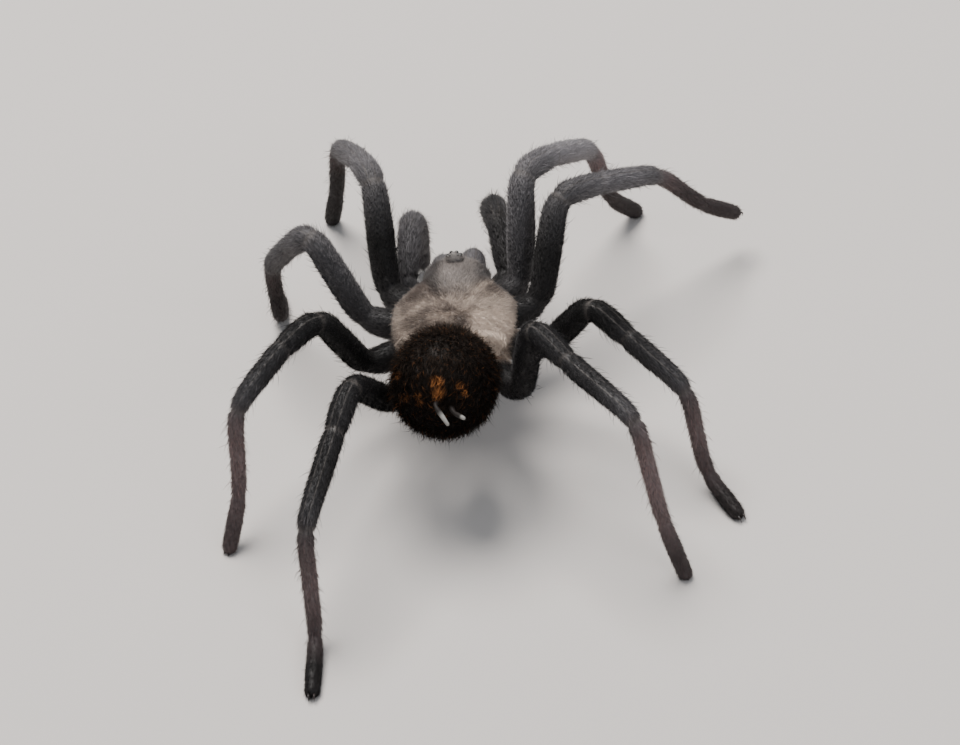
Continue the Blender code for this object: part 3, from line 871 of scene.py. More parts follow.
def limb_patches(spots, strip=0, strips=1):
    """UV places on an unwrap of limbs cut along their backs, one upright strip for each limb."""
    share = (spots.turn / (2 * pi)) % 1.0
    return patches_at((strip + 0.03 + 0.92 * share) / strips, spots)


def many_limb_patches(spots):
    first = min(ABDOMEN, CORE)
    return limb_patches(spots, spots.limb - first, len(limbs) - first)


def abdomen_patches(spots):
    return patches_at(0.01 + 0.98 * ((spots.turn + pi / 2) / (2 * pi) % 1.0), spots)


def plate_patches(spots):
    return patches_at(0.5 + spots.turn / (2.1 * CARAPACE_HALF_WIDTH), spots)


def coat(name, groups, patches, material, slot):
    """A piece of coat from groups of (spots, style)."""
    made = []
    for spots, style in groups:
        values = marks(spots)
        values["shade"] = rng.random(len(spots.points))
        made.append((grow(spots, style), patches(spots), values))
    return finish_piece(hair_mesh(name, made), materials[material], slot)


def marks(spots):
    """The attributes that the markings read, apart from each hair's own shade."""
    return {
        "place": spots.marks,
        "up": spots.up,
        "abdomen": spots.limb == ABDOMEN,
        "plate": np.maximum(spots.limb == PLATE, pale(spots)),
        "head": head_share(spots),
        "tone": np.maximum(tone(spots), PALE_COXA_TONE_AND_LIGHT * pale(spots)),
    }


def head_share(spots):
    """1 on the raised head region of the carapace, 0 on the thorax."""
    local = SHELL.into(spots.points)
    (near_x, near_y), (far_x, far_y) = NECK_GROOVE
    neck = near_x + (local[:, 1] - near_y) * (far_x - near_x) / (far_y - near_y)
    inside = 1 - ease(abs(local[:, 0]) - neck, *HEAD_EDGE)
    return inside * ease(local[:, 1], *HEAD_START) * (spots.limb == PLATE)


# How light the coat is at the middles of coxa, femur, patella, tibia, metatarsus and tarsus. Besides the
# hair's own colour, this holds painted sheen: the high values on the patellae and tibiae, most of all on the
# front legs, stand for their tops catching the light.
LEG_TONE_AND_SHEEN = {
    "l1": (0.1, 0.0, 1.0, 0.84, 0.06, 0.04),
    "l2": (0.1, 0.49, 0.72, 0.53, 0.11, 0.07),
    "l3": (0.05, 0.0, 0.07, 0.27, 1.0, 0.41),
    "l4": (0.05, 0.0, 0.18, 0.1, 0.77, 0.02),
    "r1": (0.1, 0.58, 1.1, 3.0, 0.26, 0.11),
    "r2": (0.1, 0.02, 0.8, 1.17, 0.24, 0.2),
    "r3": (0.05, 0.0, 0.04, 0.28, 0.76, 0.09),
    "r4": (0.05, 0.1, 0.17, 0.19, 1.15, 0.26),
}
PALP_TONE = {"l": (0.15, 0.55, 0.7, 0.7, 0.6), "r": (0.05, 0.12, 0.15, 0.15, 0.12)}
CHELICERA_TONE = 0.75
# Share of the carapace's pale coat on a leg's coxa, and how far along the leg it fades out. The larger
# shares on the right are partly painted light falling from that side.
PALE_COXA_AND_LIGHT = {"l3": 0.15, "l4": 0.5, "r3": 0.9, "r4": 0.95}
PALE_FADES = (0.42, 0.6)
# Painted light: a high tone that brightens the pale coxae where the carapace shades them.
PALE_COXA_TONE_AND_LIGHT = 0.9
# How light the thorax is from its left to its right, and how dark it gets by the head and the abdomen. Its
# lighter right side and the lift on its right back are painted light falling from the right.
THORAX_AT = (-6.5, -3.5, -1.6, 0.6, 3.4)
THORAX_TONE = (0.54, 0.46, 0.36, 0.38, 0.72)
BESIDE_HEAD = (-0.9, 1.8)
BESIDE_HEAD_AT = (-3.2, -1.0, 1.5, 3.0)
BESIDE_HEAD_DROP = (0.9, 0.35, 0.35, 0.5)
BY_ABDOMEN = (2.8, 4.4)
BY_ABDOMEN_DROP = 0.5
BY_ABDOMEN_HALF_WIDTH = 1.6
RIGHT_BACK_PAINTED_LIGHT = 0.38
RIGHT_BACK = ((1.4, 3.0), (1.4, 3.4))
ABDOMEN_LIGHTENS = (1.5, 5.5)  # upward in its frame
OTHER_TONE = 0.1
# The head's edge, outward from the neck grooves, and where it starts; how light it is, and its dark flanks.
HEAD_EDGE = (-1.1, 0.8)
HEAD_START = (-1.0, 2.5)
HEAD_TONE = 0.55
HEAD_MIDDLE = 0.4
HEAD_FLANK = (1.2, 3.6)
LEFT_FLANK_DROP = 0.55
RIGHT_FLANK_DROP = 0.38


def tone(spots):
    """How light the coat is by its place, apart from each hair's own shade; on the legs, the coxae and the
    thorax part of it is painted sheen and light.
    """
    made = np.full(len(spots.points), OTHER_TONE)
    for number, limb in enumerate(limbs):
        here = spots.limb == number
        if limb in chelicerae:
            made[here] = CHELICERA_TONE
            continue
        if limb in palps:
            levels = PALP_TONE[limb.name[-1]]
        else:
            levels = LEG_TONE_AND_SHEEN[limb.name[-2:]]
        made[here] = np.interp(spots.place[here], np.arange(len(levels)) + 0.5, levels)
    local = BELLY.into(spots.points)
    made = np.where(spots.limb == ABDOMEN, ease(local[:, 2], *ABDOMEN_LIGHTENS), made)
    local = SHELL.into(spots.points)
    share = head_share(spots)
    return np.where(spots.limb == PLATE, thorax_tone(local) * (1 - share) + head_tone(local) * share, made)


def thorax_tone(local):
    """How light the thorax is by places in the carapace's frame, with painted light on its right."""
    x, y = local[:, 0], local[:, 1]
    base = np.interp(x, THORAX_AT, THORAX_TONE)
    beside_head = np.interp(x, BESIDE_HEAD_AT, BESIDE_HEAD_DROP) * ease(y, *BESIDE_HEAD)
    by_abdomen = BY_ABDOMEN_DROP * ease(-y, *BY_ABDOMEN) * np.exp(-((x / BY_ABDOMEN_HALF_WIDTH) ** 2))
    right, back = RIGHT_BACK
    # Painted light on the right back of the thorax.
    lift = RIGHT_BACK_PAINTED_LIGHT * ease(x, *right) * ease(-y, *back)
    return (base + lift) * (1 - beside_head) * (1 - by_abdomen)


def head_tone(local):
    off = local[:, 0] - HEAD_MIDDLE
    drop = np.where(off < 0, LEFT_FLANK_DROP, RIGHT_FLANK_DROP)
    return HEAD_TONE - drop * ease(abs(off), *HEAD_FLANK)


def pale(spots):
    """Share of the carapace's pale coat on the coxae, larger on the right as painted light."""
    made = np.zeros(len(spots.points))
    for number, limb in enumerate(legs):
        share = PALE_COXA_AND_LIGHT.get(limb.name[-2:], 0.0)
        here = spots.limb == number
        made[here] = share * (1 - ease(spots.place[here], *PALE_FADES))
    return made


# ---- Materials ----


class Tree:
    """Short ways to add shader nodes."""

    def __init__(self, tree):
        self.tree = tree

    def add(self, kind, **settings):
        node = self.tree.nodes.new(kind)
        for key, value in settings.items():
            setattr(node, key, value)
        return node

    def fill(self, socket, value):
        if isinstance(value, bpy.types.NodeSocket):
            self.tree.links.new(value, socket)
        elif isinstance(value, tuple) and len(value) == 3 and socket.type == "RGBA":
            socket.default_value = (*value, 1.0)
        else:
            socket.default_value = value

    def value(self, name):
        return self.add("ShaderNodeAttribute", attribute_name=name).outputs["Fac"]

    def math(self, operation, first, second=0.0):
        node = self.add("ShaderNodeMath", operation=operation)
        self.fill(node.inputs[0], first)
        self.fill(node.inputs[1], second)
        return node.outputs[0]

    def times(self, first, second):
        return self.math("MULTIPLY", first, second)

    def blend(self, value, share, start):
        """value times share, plus start."""
        node = self.add("ShaderNodeMath", operation="MULTIPLY_ADD")
        for socket, each in zip(node.inputs, (value, share, start)):
            self.fill(socket, each)
        return node.outputs[0]

    def smooth(self, value, low, high, start=0.0, end=1.0):
        node = self.add("ShaderNodeMapRange", interpolation_type="SMOOTHSTEP")
        for socket, each in zip(node.inputs, (value, low, high, start, end)):
            self.fill(socket, each)
        return node.outputs[0]

    def within(self, value, place, start, end):
        """value where place is past start and short of end, which are each a pair that it fades over."""
        value = self.times(value, self.smooth(place, *start))
        return self.times(value, self.smooth(place, *end, 1.0, 0.0))

    def mix(self, factor, first, second, blend="MIX"):
        node = self.add("ShaderNodeMix", data_type="RGBA", blend_type=blend)
        self.fill(node.inputs[0], factor)
        self.fill(node.inputs[6], first)
        self.fill(node.inputs[7], second)
        return node.outputs[2]

    def place(self):
        return self.add("ShaderNodeTexCoord").outputs["Object"]

    def noise(self, size, detail=3.0):
        """Noise with features of about this size in metres."""
        node = self.add("ShaderNodeTexNoise")
        self.fill(node.inputs["Vector"], self.place())
        node.inputs["Scale"].default_value = 1 / size
        node.inputs["Detail"].default_value = detail
        return node.outputs["Fac"]

    def spots_on_abdomen(self, patches):
        """Greatest strength of soft round patches, from each one's place, radius and strength."""
        most = 0.0
        for across, forward, high, radius, strength in patches:
            middle = BELLY.out((across, forward, high)) * MM
            near = self.smooth(self.far_from(middle), 0.5 * radius * MM, 1.5 * radius * MM, strength, 0.0)
            most = self.math("MAXIMUM", near, most)
        return most

    def far_from(self, point):
        node = self.add("ShaderNodeVectorMath", operation="DISTANCE")
        self.fill(node.inputs[0], self.place())
        node.inputs[1].default_value = tuple(point)
        return node.outputs["Value"]


BLACK_HAIR = (0.0075, 0.0065, 0.006)
# The leg hair's light grey, which also carries painted sheen on the legs' lit tops.
GREY_HAIR_AND_SHEEN = (0.345, 0.327, 0.340)
BROWN_HAIR = (0.32, 0.20, 0.19)
BARE = (0.12, 0.105, 0.095)
ABDOMEN_BLACK = (0.009, 0.006, 0.0042)
ABDOMEN_BROWN = (0.072, 0.052, 0.040)
RUST = (0.52, 0.20, 0.065)
FLECK = (0.16, 0.14, 0.13)
SHIELD_DARK = (0.075, 0.053, 0.042)
SHIELD_LIGHT = (0.74, 0.60, 0.49)
HEAD_DARK = (0.045, 0.037, 0.034)
HEAD_LIGHT = (0.36, 0.315, 0.285)
# Rust patches on the abdomen: across, forward, up (millimetres in its frame), radius and strength.
RUST_PATCHES = (
    (0.0, -15.6, 2.7, 0.8, 1.0),
    (0.1, -16.0, 1.7, 0.8, 1.0),
    (-2.35, -15.7, 1.2, 0.45, 0.8),
    (-2.25, -15.8, 0.3, 0.45, 0.8),
    (2.7, -15.2, 2.1, 0.5, 0.8),
    (3.2, -15.25, 1.1, 0.5, 0.8),
    (-5.1, -12.5, 2.75, 0.6, 0.4),
    (-4.1, -14.7, 0.65, 0.6, 0.4),
)
PALE_FLECKS = ((-0.3, -12.9, 5.6, 0.5, 0.6), (-2.3, -14.35, 3.9, 0.4, 0.6), (-0.9, -14.9, 3.9, 0.4, 0.5))
STRIPE_UP = 0.93  # cosine of the angle between a bald stripe and the leg's back
STRIPE_HALF = 0.022
# Places along a leg: where its bald stripes and its joints' rings fade in and out, and its brown starts.
STRIPE_FADES = ((1.95, 2.1), (4.3, 4.8))
RING_FADES = ((1.2, 1.5), (4.6, 4.9))
RING_HALF = (0.012, 0.045)
BROWN_FROM = (3.85, 4.2)
ROOT_SHADOW = (0.35, 0.33, 0.33)


def markings_group():
    """The colours shared by the skin and every hair, from where each is on the spider."""
    group = bpy.data.node_groups.new("markings", "ShaderNodeTree")
    group.interface.new_socket("Colour", in_out="OUTPUT", socket_type="NodeSocketColor")
    t = Tree(group)
    place, up, shade, tip, level = (t.value(name) for name in ("place", "up", "shade", "tip", "tone"))
    patchy = t.smooth(t.noise(0.0025), 0.3, 0.75)
    fleck = t.math("POWER", shade, 1.6)
    # Legs run from black to grey by their tone; the grey on lit patellae and tibiae is painted sheen.
    leg = t.mix(t.times(level, t.blend(fleck, 0.7, 0.25)), BLACK_HAIR, GREY_HAIR_AND_SHEEN)
    low = t.times(t.smooth(place, *BROWN_FROM), t.smooth(shade, 0.2, 0.9, 0.3, 0.9))
    leg = t.mix(low, leg, t.mix(level, BLACK_HAIR, BROWN_HAIR))
    off_joint = t.math("ABSOLUTE", t.math("SUBTRACT", t.math("FRACT", t.math("ADD", place, 0.5)), 0.5))
    ring = t.within(t.smooth(off_joint, *RING_HALF, 1.0, 0.0), place, *RING_FADES)
    off_stripe = t.math("ABSOLUTE", t.math("SUBTRACT", up, STRIPE_UP))
    stripe = t.smooth(off_stripe, STRIPE_HALF * 0.5, STRIPE_HALF * 1.4, 1.0, 0.0)
    stripe = t.within(stripe, place, *STRIPE_FADES)
    bare = t.times(t.math("MAXIMUM", ring, stripe), t.smooth(tip, 0.0, 1.0, 0.6, 0.3))
    leg = t.mix(bare, leg, BARE)
    rust, pale_flecks = t.spots_on_abdomen(RUST_PATCHES), t.spots_on_abdomen(PALE_FLECKS)
    scattered_rust = t.smooth(shade, 0.93, 0.98, 0.0, 0.3)
    rust = t.times(rust, t.smooth(t.noise(0.0009), 0.3, 0.5))
    rust = t.math("MAXIMUM", t.times(rust, t.smooth(shade, 0.05, 0.4)), scattered_rust)
    belly = t.mix(t.times(t.blend(level, 0.85, 0.15), fleck), ABDOMEN_BLACK, ABDOMEN_BROWN)
    belly = t.mix(t.times(pale_flecks, shade), belly, FLECK)
    belly = t.mix(rust, belly, RUST)
    blotch = t.math("SUBTRACT", patchy, 0.5)
    warm = t.math("ADD", t.blend(shade, 0.4, -0.2), t.math("ADD", level, t.blend(blotch, 0.5, 0.0)))
    warm = t.smooth(warm, 0.0, 1.0)
    shield = t.mix(warm, SHIELD_DARK, SHIELD_LIGHT)
    warm_head = t.math("ADD", t.blend(shade, 0.35, -0.17), t.math("ADD", level, t.blend(blotch, 0.2, 0.0)))
    head = t.mix(t.smooth(warm_head, 0.0, 1.0), HEAD_DARK, HEAD_LIGHT)
    shield = t.mix(t.value("head"), shield, head)
    colour = t.mix(t.value("abdomen"), leg, belly)
    colour = t.mix(t.value("plate"), colour, shield)
    shadow = t.mix(1.0, colour, ROOT_SHADOW, "MULTIPLY")
    colour = t.mix(t.smooth(tip, 0.0, 1.0, 0.35, 0.0), colour, shadow)
    out = group.nodes.new("NodeGroupOutput")
    group.links.new(colour, out.inputs["Colour"])
    return group


def shader_material(name, roughness, **constants):
    """A Principled material with constants for named sockets. Returns it, its nodes and the shader."""
    made = bpy.data.materials.new(name)
    made.use_nodes = True
    shader = made.node_tree.nodes["Principled BSDF"]
    shader.inputs["Roughness"].default_value = roughness
    for key, value in constants.items():
        shader.inputs[key.replace("_", " ")].default_value = value
    return made, Tree(made.node_tree), shader


SHEEN_ROUGHNESS = 0.45
SHEEN_TINT = (0.85, 0.82, 0.82, 1.0)
SKIN_GRAIN = (0.0003, 0.0001)  # breadth and depth of its bumps, in metres


def coat_material(name, roughness, sheen, gloss):
    made, t, shader = shader_material(name, roughness, Sheen_Weight=sheen, Specular_IOR_Level=gloss)
    shader.inputs["Sheen Roughness"].default_value = SHEEN_ROUGHNESS
    shader.inputs["Sheen Tint"].default_value = SHEEN_TINT
    t.fill(shader.inputs["Base Color"], t.add("ShaderNodeGroup", node_tree=markings).outputs["Colour"])
    return made


def skin_material(name):
    made, t, shader = shader_material(name, 0.55, Specular_IOR_Level=0.3)
    t.fill(shader.inputs["Base Color"], t.add("ShaderNodeGroup", node_tree=markings).outputs["Colour"])
    t.fill(shader.inputs["Roughness"], t.smooth(t.noise(0.0006), 0.3, 0.7, 0.45, 0.7))
    bump = t.add("ShaderNodeBump")
    bump.inputs["Strength"].default_value = 0.6
    bump.inputs["Distance"].default_value = SKIN_GRAIN[1]
    t.fill(bump.inputs["Height"], t.noise(SKIN_GRAIN[0], 4.0))
    t.fill(shader.inputs["Normal"], bump.outputs[0])
    return made


def spinneret_material(name, dark, light):
    made, t, shader = shader_material(name, 0.65, Specular_IOR_Level=0.25)
    worn = t.times(t.value("tone"), t.smooth(t.noise(0.0005), 0.3, 0.7, 0.7, 1.0))
    t.fill(shader.inputs["Base Color"], t.mix(worn, dark, light))
    return made


def horn_material(name, dark, light, roughness, gloss=0.6):
    made, t, shader = shader_material(name, roughness, Coat_Weight=gloss, Coat_Roughness=0.12)
    t.fill(shader.inputs["Base Color"], t.mix(t.smooth(t.noise(0.0008), 0.35, 0.7), dark, light))
    t.fill(shader.inputs["Roughness"], t.smooth(t.noise(0.0004), 0.3, 0.7, roughness * 0.8, roughness * 1.5))
    return made


# ---- Small hard parts ----


MOUND_SEAT = 0.15  # how far its foot lies under the carapace's top
MOUND_EXTRA = 0.35  # how much taller it is than its solid's upper half
MOUND_ROUNDNESS = 0.75
MOUND_RINGS = (1.0, 0.99, 0.96, 0.9, 0.82, 0.72, 0.6, 0.46, 0.3, 0.15, 0.05)
MOUND_SIDES = 40
MOUND_DEPTH = 0.5  # of its foot inside the carapace


def dome_height(x, y):
    """Top of the eye mound over a place given from its middle, in the carapace's frame."""
    half_x, half_y, tall = EYE_TURRET_HALF_SIZE
    reach = (x / half_x) ** 2 + (y / half_y) ** 2
    seat = carapace_top(np.asarray(x, float), np.asarray(EYE_TURRET_AT + y, float)) - MOUND_SEAT
    return seat + (tall + MOUND_EXTRA) * np.maximum(0.0, 1 - reach) ** MOUND_ROUNDNESS


def eye_mound():
    rings = []
    turn = around(MOUND_SIDES)
    for share in MOUND_RINGS:
        x = EYE_TURRET_HALF_SIZE[0] * share * np.cos(turn)
        y = EYE_TURRET_HALF_SIZE[1] * share * np.sin(turn)
        rings.append(np.column_stack((x, EYE_TURRET_AT + y, dome_height(x, y))))
    foot = rings[0].copy()
    foot[:, 2] -= MOUND_DEPTH
    return lofted(SHELL.out(np.array([foot, *rings])))


EYE_SINK = 0.35  # share of an eye's radius that its middle lies under the mound's top
EYE_CLEAR = 1.3  # reach round an eye, as a multiple of its radius, that has no hair
# Place on the mound (across, forward) and radius of one side's eyes, and how long each is across.
EYES = (
    ("front_middle", 0.34, 0.12, 0.25, 1.0),
    ("front_side", 0.74, 0.36, 0.2, 1.35),
    ("rear_side", 0.8, -0.18, 0.17, 1.35),
    ("rear_middle", 0.5, -0.34, 0.13, 1.1),
)
BALL_RINGS = 13
BALL_SIDES = 20


def ball(centre, radius, stretch=1.0):
    """A sphere's points and faces, stretched across."""
    turns = np.linspace(0, pi, BALL_RINGS)[1:-1]
    turn = around(BALL_SIDES)
    x, y = stretch * np.outer(np.sin(turns), np.cos(turn)), np.outer(np.sin(turns), np.sin(turn))
    rings = np.stack((x, y, np.repeat(np.cos(turns)[:, None], BALL_SIDES, axis=1)), axis=-1)
    return lofted(centre + radius * rings @ SHELL.turn.T)


def horn(path, radii, sides=18, rings=28):
    """A curved horn along a path, with its radius running through a start, middle and end value."""
    u = np.linspace(0, 1, rings)
    size = parabola(radii, u)
    centre, tangent = path.at(u * path.length)
    side = unit(np.cross(tangent, (0.31, 0.17, 0.94)))
    other = np.cross(tangent, side)
    turn = around(sides)
    ring = along(np.cos(turn)[None, :], side[:, None, :]) + along(np.sin(turn)[None, :], other[:, None, :])
    return lofted(centre[:, None, :] + size[:, None, None] * ring)


CLAW_LENGTH = 0.95
CLAW_SPREAD = 0.32
CLAW_START = (0.3, 0.25)  # how far inside the foot's end, and how high over its middle line
CLAW_MIDDLE = (0.6, 0.2)  # share of its length, and how high over its start
CLAW_DROP = 0.35  # of its point, below its start
CLAW_BEND = 0.5
CLAW_RADII = (0.13, 0.09, 0.015)
CLAW_CLEAR = 0.16  # least height of its middle line over the floor


def claws(limb):
    """The two small hooks at the end of a foot."""
    (inset, high), (share, arch) = CLAW_START, CLAW_MIDDLE
    centre, tangent, back, flank = (each[0] for each in limb.frame(np.array([limb.end - inset])))
    made = []
    for side in (-1, 1):
        start = centre + high * back + side * CLAW_SPREAD * flank
        middle = start + CLAW_LENGTH * share * tangent + arch * back
        points = np.array((start, middle, start + CLAW_LENGTH * tangent - CLAW_DROP * back))
        points[:, 2] = points[:, 2].clip(CLAW_CLEAR)
        made.append(horn(Path(points, CLAW_BEND), CLAW_RADII, 10, 12))
    return made


WAIST_ENDS = ((0.0, -5.5, -1.2), (0, -1.5, 0.1))  # in the body's frame and in the abdomen's
WAIST_RADII = (0.8, 0.75, 0.8)
WAIST_BEND = 0.5
SPINNERET_INSIDE = 1.5  # how far inside the abdomen's end its skin starts
SPINNERET_INNER = (0.6, 0.5)  # shares of its root's place across and up, where its skin starts
SPINNERET_BEND = 0.6
SPINNERET_SKIN = 0.62  # share of its solid's radius
SPINNERET_PALE_FROM = {"l": (1.35, 1.45), "r": (1.6, 1.8)}  # place along it where its pale end starts


def spinneret(letter):
    across, up = SPINNERET_ROOT[letter]
    run_back, run_across, run_up = SPINNERET_RUN[letter]
    root = np.array((across, -ABDOMEN_LENGTH - SPINNERET_OUT, up))
    end = root + (run_across, -run_back, run_up)
    inside = (SPINNERET_INNER[0] * across, SPINNERET_INSIDE - ABDOMEN_LENGTH, SPINNERET_INNER[1] * up)
    points = [BELLY.out(point) for point in (inside, root, end)]
    start, middle, tip = (SPINNERET_SKIN * radius for radius in SPINNERET_RADII)
    radii = ((start, start, start), (start, middle, tip))
    return Limb(f"spinneret_{letter}", points, SPINNERET_BEND, radii, (0.0, 0.0))


# ---- The spider ----

QUICK = 1.0
rng = np.random.default_rng(20260)

legs = make_legs()
palps = make_palps()
chelicerae = make_chelicerae()
limbs = legs + palps + chelicerae
waist_from, waist_to = BODY.out(WAIST_ENDS[0]), BELLY.out(WAIST_ENDS[1])
waist = Path([waist_from, (waist_from + waist_to) / 2, waist_to], WAIST_BEND)
flesh = [limb.tube() for limb in limbs] + [abdomen_shape(), core_shape(), horn(waist, WAIST_RADII)]

markings = markings_group()
materials = {
    "leg": coat_material("leg_coat_hair", 0.5, 0.06, 0.16),
    "foot": coat_material("foot_coat_hair", 0.6, 0.06, 0.16),
    "abdomen": coat_material("abdomen_hair", 0.55, 0.01, 0.06),
    "under": coat_material("underside_hair", 0.55, 0.05, 0.2),
    "carapace": coat_material("carapace_hair", 0.55, 0.1, 0.3),
    "skin": skin_material("skin_cuticle"),
    "plate": skin_material("carapace_cuticle"),
    "horn": horn_material("fang_horn", (0.004, 0.003, 0.003), (0.018, 0.008, 0.006), 0.3, 0.25),
    "mound": horn_material("eye_mound_shell", (0.06, 0.054, 0.052), (0.15, 0.138, 0.13), 0.5, 0.1),
    "eye": horn_material("eye_glass", (0.004, 0.004, 0.005), (0.02, 0.016, 0.012), 0.05),
    "spinneret": spinneret_material("spinneret_skin", (0.012, 0.009, 0.008), (0.27, 0.26, 0.24)),
}


SKIN_SHADE = 0.35
PLATE_SHADE = 0.3


def mark(piece, spots, shade):
    """Gives a surface the attributes that the markings read."""
    set_values(piece.data, "shade", np.full(len(spots.points), shade))
    for key, values in marks(spots).items():
        set_values(piece.data, key, values)


skin = one_skin(flesh)
points, normals, faces = points_of(skin.data)
mark(skin, Spots(points, normals), SKIN_SHADE)
flesh_nodes = [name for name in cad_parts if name.startswith(("leg_", "palp_", "chelicera_"))]
finish_piece(skin, materials["skin"], "leg_coat", "sternum", "pedicel", "abdomen", *flesh_nodes)

plate = add_mesh("carapace_plate", *carapace_plate())
on_plate = points_of(plate.data)
mark(plate, Spots(*on_plate[:2], plate=True), PLATE_SHADE)
finish_piece(plate, materials["plate"], "carapace_coat", "carapace")

mound = add_mesh("eye_mound", *eye_mound())
on_mound = points_of(mound.data)
finish_piece(mound, materials["mound"], "eye_shell", "eye_turret")
eye_middles = []
for name, across, forward, radius, stretch in EYES:
    for letter, side in SIDE.items():
        seat = dome_height(across, forward) - EYE_SINK * radius
        middle = SHELL.out((side * across, EYE_TURRET_AT + forward, seat))
        eye_middles.append((middle, EYE_CLEAR * radius * stretch))
        eye = add_mesh(f"eye_{name}_{letter}", *ball(middle, radius, stretch))
        finish_piece(eye, materials["eye"], "eye_shell")
for letter in SIDE:
    fang_path = Path(head_path(letter, FANG_PATH), FANG_BEND)
    fang = add_mesh(f"fang_horn_{letter}", *horn(fang_path, FANG_RADII))
    finish_piece(fang, materials["horn"], "fang_shell", f"fang_{letter}")
    limb = spinneret(letter)
    piece = add_mesh(f"spinneret_skin_{letter}", *limb.tube())
    place = limb.place(limb.path.nearest(points_of(piece.data)[0]))
    set_values(piece.data, "tone", ease(place, *SPINNERET_PALE_FROM[letter]))
    finish_piece(piece, materials["spinneret"], "underside_coat", f"spinneret_{letter}")
hooks = [hook for leg in legs for hook in claws(leg)]
finish_piece(add_mesh("claws", *joined(hooks)), materials["horn"], "fang_shell")

# ---- The coat ----

LEG_HAIR = Style(54.0, 0.8, 0.031, 24.0)
LEG_BRISTLE = Style(1.1, 1.7, 0.03, 40.0, 26.0, 20.0)
FOOT_HAIR = Style(82.0, 0.5, 0.027, 32.0)
FOOT_BRISTLE = Style(1.0, 0.9, 0.026, 42.0, 30.0, 20.0)
PALP_HAIR = Style(72.0, 1.0, 0.031, 24.0)
PALP_BRISTLE = Style(2.2, 2.0, 0.03, 34.0, 20.0, 18.0)
ABDOMEN_HAIR = Style(44.0, 1.05, 0.034, 34.0, None, 18.0)
ABDOMEN_LONG = Style(13.0, 1.7, 0.034, 40.0, 22.0, 20.0)
ABDOMEN_BRISTLE = Style(1.2, 2.5, 0.03, 44.0, 24.0, 24.0)
UNDER_HAIR = Style(34.0, 0.8, 0.038, 26.0, None, 18.0)
CHELICERA_HAIR = Style(56.0, 0.6, 0.028, 20.0, None, 10.0)
CHELICERA_BRISTLE = Style(1.5, 1.1, 0.026, 35.0, 20.0, 16.0)
PLATE_HAIR = Style(125.0, 0.72, 0.025, 24.0, None, 16.0)
PLATE_BRISTLE = Style(1.6, 1.1, 0.026, 42.0, 26.0, 20.0)
MOUND_HAIR = Style(170.0, 0.42, 0.022, 24.0, None, 20.0)
REAR_TUFT = Style(120.0, 0.0, 0.028, 6.0, -2.0, 9.0)
# Where the long hairs on the carapace's back corners lean to, in its own frame, and how long they are.
REAR_TUFTS = (((5.7, -10.6), 2.3), ((-6.8, -9.0), 1.3))
REAR_CORNER = (3.3, -5.4)  # they grow farther out and farther back than this
STRIPE_RUN = (2.0, 4.6)  # places along a leg where its bald stripes start and end
STRIPE_KEEPS = 0.3  # chance of a hair there
JOINT_HALF = 0.02
JOINT_KEEPS = 0.25

corners = points[faces]
across = np.cross(corners[:, 1] - corners[:, 0], corners[:, 2] - corners[:, 0])
on_faces = Spots(corners.mean(1), unit(across))


def roots(chosen, style):
    """Places for hairs of one style on the chosen faces of the skin."""
    return Spots(*scattered(points, normals, faces[chosen], style.density * QUICK))


def bald(spots):
    """Chance of a hair on a limb: low in the stripes on its back, and at its joints."""
    start, end = STRIPE_RUN
    in_stripe = (abs(spots.up - STRIPE_UP) < STRIPE_HALF) & (spots.place > start) & (spots.place < end)
    at_joint = (abs((spots.place + 0.5) % 1.0 - 0.5) < JOINT_HALF) & (spots.place > 0.9)
    return np.where(in_stripe, STRIPE_KEEPS, 1.0) * np.where(at_joint, JOINT_KEEPS, 1.0)


def everywhere(spots):
    return np.ones(len(spots.points))


def grown(chosen, styles, keep):
    """Groups of (spots, style), each spot kept with its own chance."""
    groups = []
    for style in styles:
        spots = roots(chosen, style)
        chance = keep(spots)
        groups.append((spots.some(rng.random(len(chance)) < chance), style))
    return groups


on_limb, place = on_faces.limb, on_faces.place
for number, limb in enumerate(legs):
    here = (on_limb == number) & (place >= 1) & (place < 5)
    coat(f"coat_{limb.name}", grown(here, (LEG_HAIR, LEG_BRISTLE), bald), limb_patches, "leg", "leg_coat")
on_legs = (on_limb >= 0) & (on_limb < len(legs))
on_chelicerae = on_limb >= len(legs) + len(palps)
on_palps = (on_limb >= 0) & ~on_legs & ~on_chelicerae
beneath = (on_limb == CORE) | ((on_legs | on_palps) & (place < 1))
for name, chosen, styles, keep, material, slot in (
    ("feet", on_legs & (place >= 5), (FOOT_HAIR, FOOT_BRISTLE), bald, "foot", "foot_coat"),
    ("palps", on_palps & (place >= 1), (PALP_HAIR, PALP_BRISTLE), bald, "leg", "leg_coat"),
    ("chelicerae", on_chelicerae, (CHELICERA_HAIR, CHELICERA_BRISTLE), everywhere, "leg", "leg_coat"),
    ("underside", beneath, (UNDER_HAIR,), everywhere, "under", "underside_coat"),
):
    coat(f"coat_{name}", grown(chosen, styles, keep), many_limb_patches, material, slot)
on_abdomen = grown(on_limb == ABDOMEN, (ABDOMEN_HAIR, ABDOMEN_LONG, ABDOMEN_BRISTLE), everywhere)
coat("coat_abdomen", on_abdomen, abdomen_patches, "abdomen", "abdomen_coat")


def plate_roots(style, surface=on_plate, least_up=0.05):
    """Places for hairs on the carapace or the eye mound, where it faces up by at least this much."""
    where, out = scattered(*surface, style.density * QUICK)
    clear = out @ BODY.turn[:, 2] > least_up
    return Spots(where[clear], out[clear], plate=True)


def mound_roots(style):
    """Places for hairs on the eye mound, clear of the eyes."""
    spots = plate_roots(style, on_mound, -0.3)
    clear = np.ones(len(spots.points), bool)
    for middle, reach in eye_middles:
        clear &= np.linalg.norm(spots.points - middle, axis=1) > reach
    return spots.some(clear)


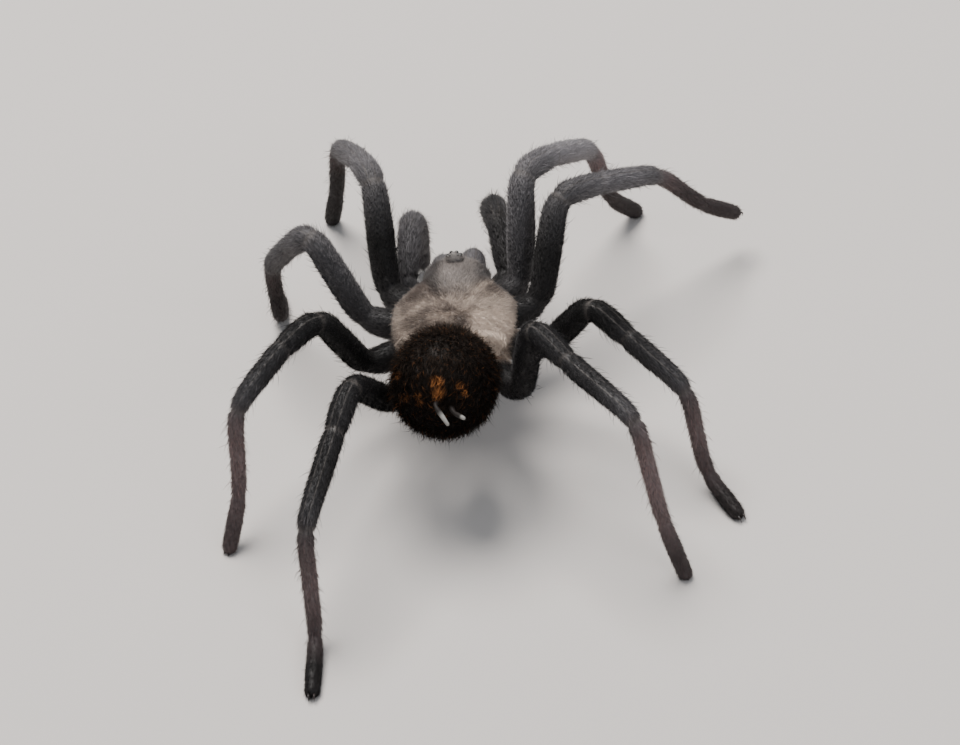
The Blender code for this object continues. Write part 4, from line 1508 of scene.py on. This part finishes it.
def rear_tuft(target, length):
    """Long hairs on one back corner of the carapace, leaning together over the coxae behind it."""
    spots = plate_roots(REAR_TUFT)
    local = SHELL.into(spots.points)
    out, back = REAR_CORNER
    spots = spots.some((local[:, 0] * np.sign(target[0]) > out) & (local[:, 1] < back))
    towards = np.array((*target, 0.0)) - SHELL.into(spots.points) * (1, 1, 0)
    spots.lie = unit(towards) @ SHELL.turn.T
    spots.normals = np.tile(SHELL.turn[:, 2], (len(towards), 1))
    return spots, REAR_TUFT._replace(length=length)


shield = [(plate_roots(style), style) for style in (PLATE_HAIR, PLATE_BRISTLE)]
shield.append((mound_roots(MOUND_HAIR), MOUND_HAIR))
shield += [rear_tuft(target, length) for target, length in REAR_TUFTS]
coat("coat_carapace", shield, plate_patches, "carapace", "carapace_coat")

# ---- Floor, light and camera ----

FLOOR_COLOUR = (0.60, 0.56, 0.53)
FLOOR_SHADE = tuple(0.96 * each for each in FLOOR_COLOUR)
FLOOR_SIZE = 6.0
SKY_COLOUR = (0.85, 0.92, 1.0, 1.0)
SKY_STRENGTH = 0.45

floor_material, tree, shader = shader_material("floor_paper", 0.9)
tree.fill(shader.inputs["Base Color"], tree.mix(tree.noise(0.05), FLOOR_COLOUR, FLOOR_SHADE))
bpy.ops.mesh.primitive_plane_add(size=FLOOR_SIZE)
floor = bpy.context.object
floor.name = "floor"
floor.data.materials.append(floor_material)

world = bpy.data.worlds.new("studio")
bpy.context.scene.world = world
world.use_nodes = True
background = world.node_tree.nodes["Background"]
background.inputs["Color"].default_value = SKY_COLOUR
background.inputs["Strength"].default_value = SKY_STRENGTH


def soft_light(name, place, target, size, power, colour):
    data = bpy.data.lights.new(name, "AREA")
    data.shape = "DISK"
    data.size = size
    data.energy = power
    data.color = colour
    lamp = bpy.data.objects.new(name, data)
    lamp.location = place
    lamp.rotation_euler = (Vector(target) - Vector(place)).to_track_quat("-Z", "Y").to_euler()
    bpy.context.scene.collection.objects.link(lamp)


soft_light("overhead", (-0.12, 0.25, 0.75), (0.0, 0.0, 0.0), 0.5, 11.0, (1.0, 0.97, 0.94))
soft_light("fill", (0.45, -0.55, 0.45), (0.0, 0.0, 0.01), 0.5, 2.0, (0.94, 0.96, 1.0))

CAMERA_ELEVATION = 42.0
CAMERA_AZIMUTH = 5.0
CAMERA_ROLL = -8.0
CAMERA_DISTANCE = 0.362
CAMERA_TARGET = Vector((-0.0017, 0.0099, 0.0))
CAMERA_LENS = 106.0


def photo_camera():
    elevation, azimuth, roll = map(radians, (CAMERA_ELEVATION, CAMERA_AZIMUTH, CAMERA_ROLL))
    flat = cos(elevation)
    back = Vector((sin(azimuth) * flat, -cos(azimuth) * flat, sin(elevation)))
    level = Vector((cos(azimuth), sin(azimuth), 0.0))
    upright = back.cross(level)
    right = cos(roll) * level + sin(roll) * upright
    up = cos(roll) * upright - sin(roll) * level
    data = bpy.data.cameras.new("camera")
    data.lens = CAMERA_LENS
    data.clip_start = 0.01
    camera = bpy.data.objects.new("camera", data)
    turn = Matrix((right, up, back)).transposed()
    camera.matrix_world = Matrix.LocRotScale(CAMERA_TARGET + CAMERA_DISTANCE * back, turn, None)
    bpy.context.scene.collection.objects.link(camera)
    bpy.context.scene.camera = camera


photo_camera()
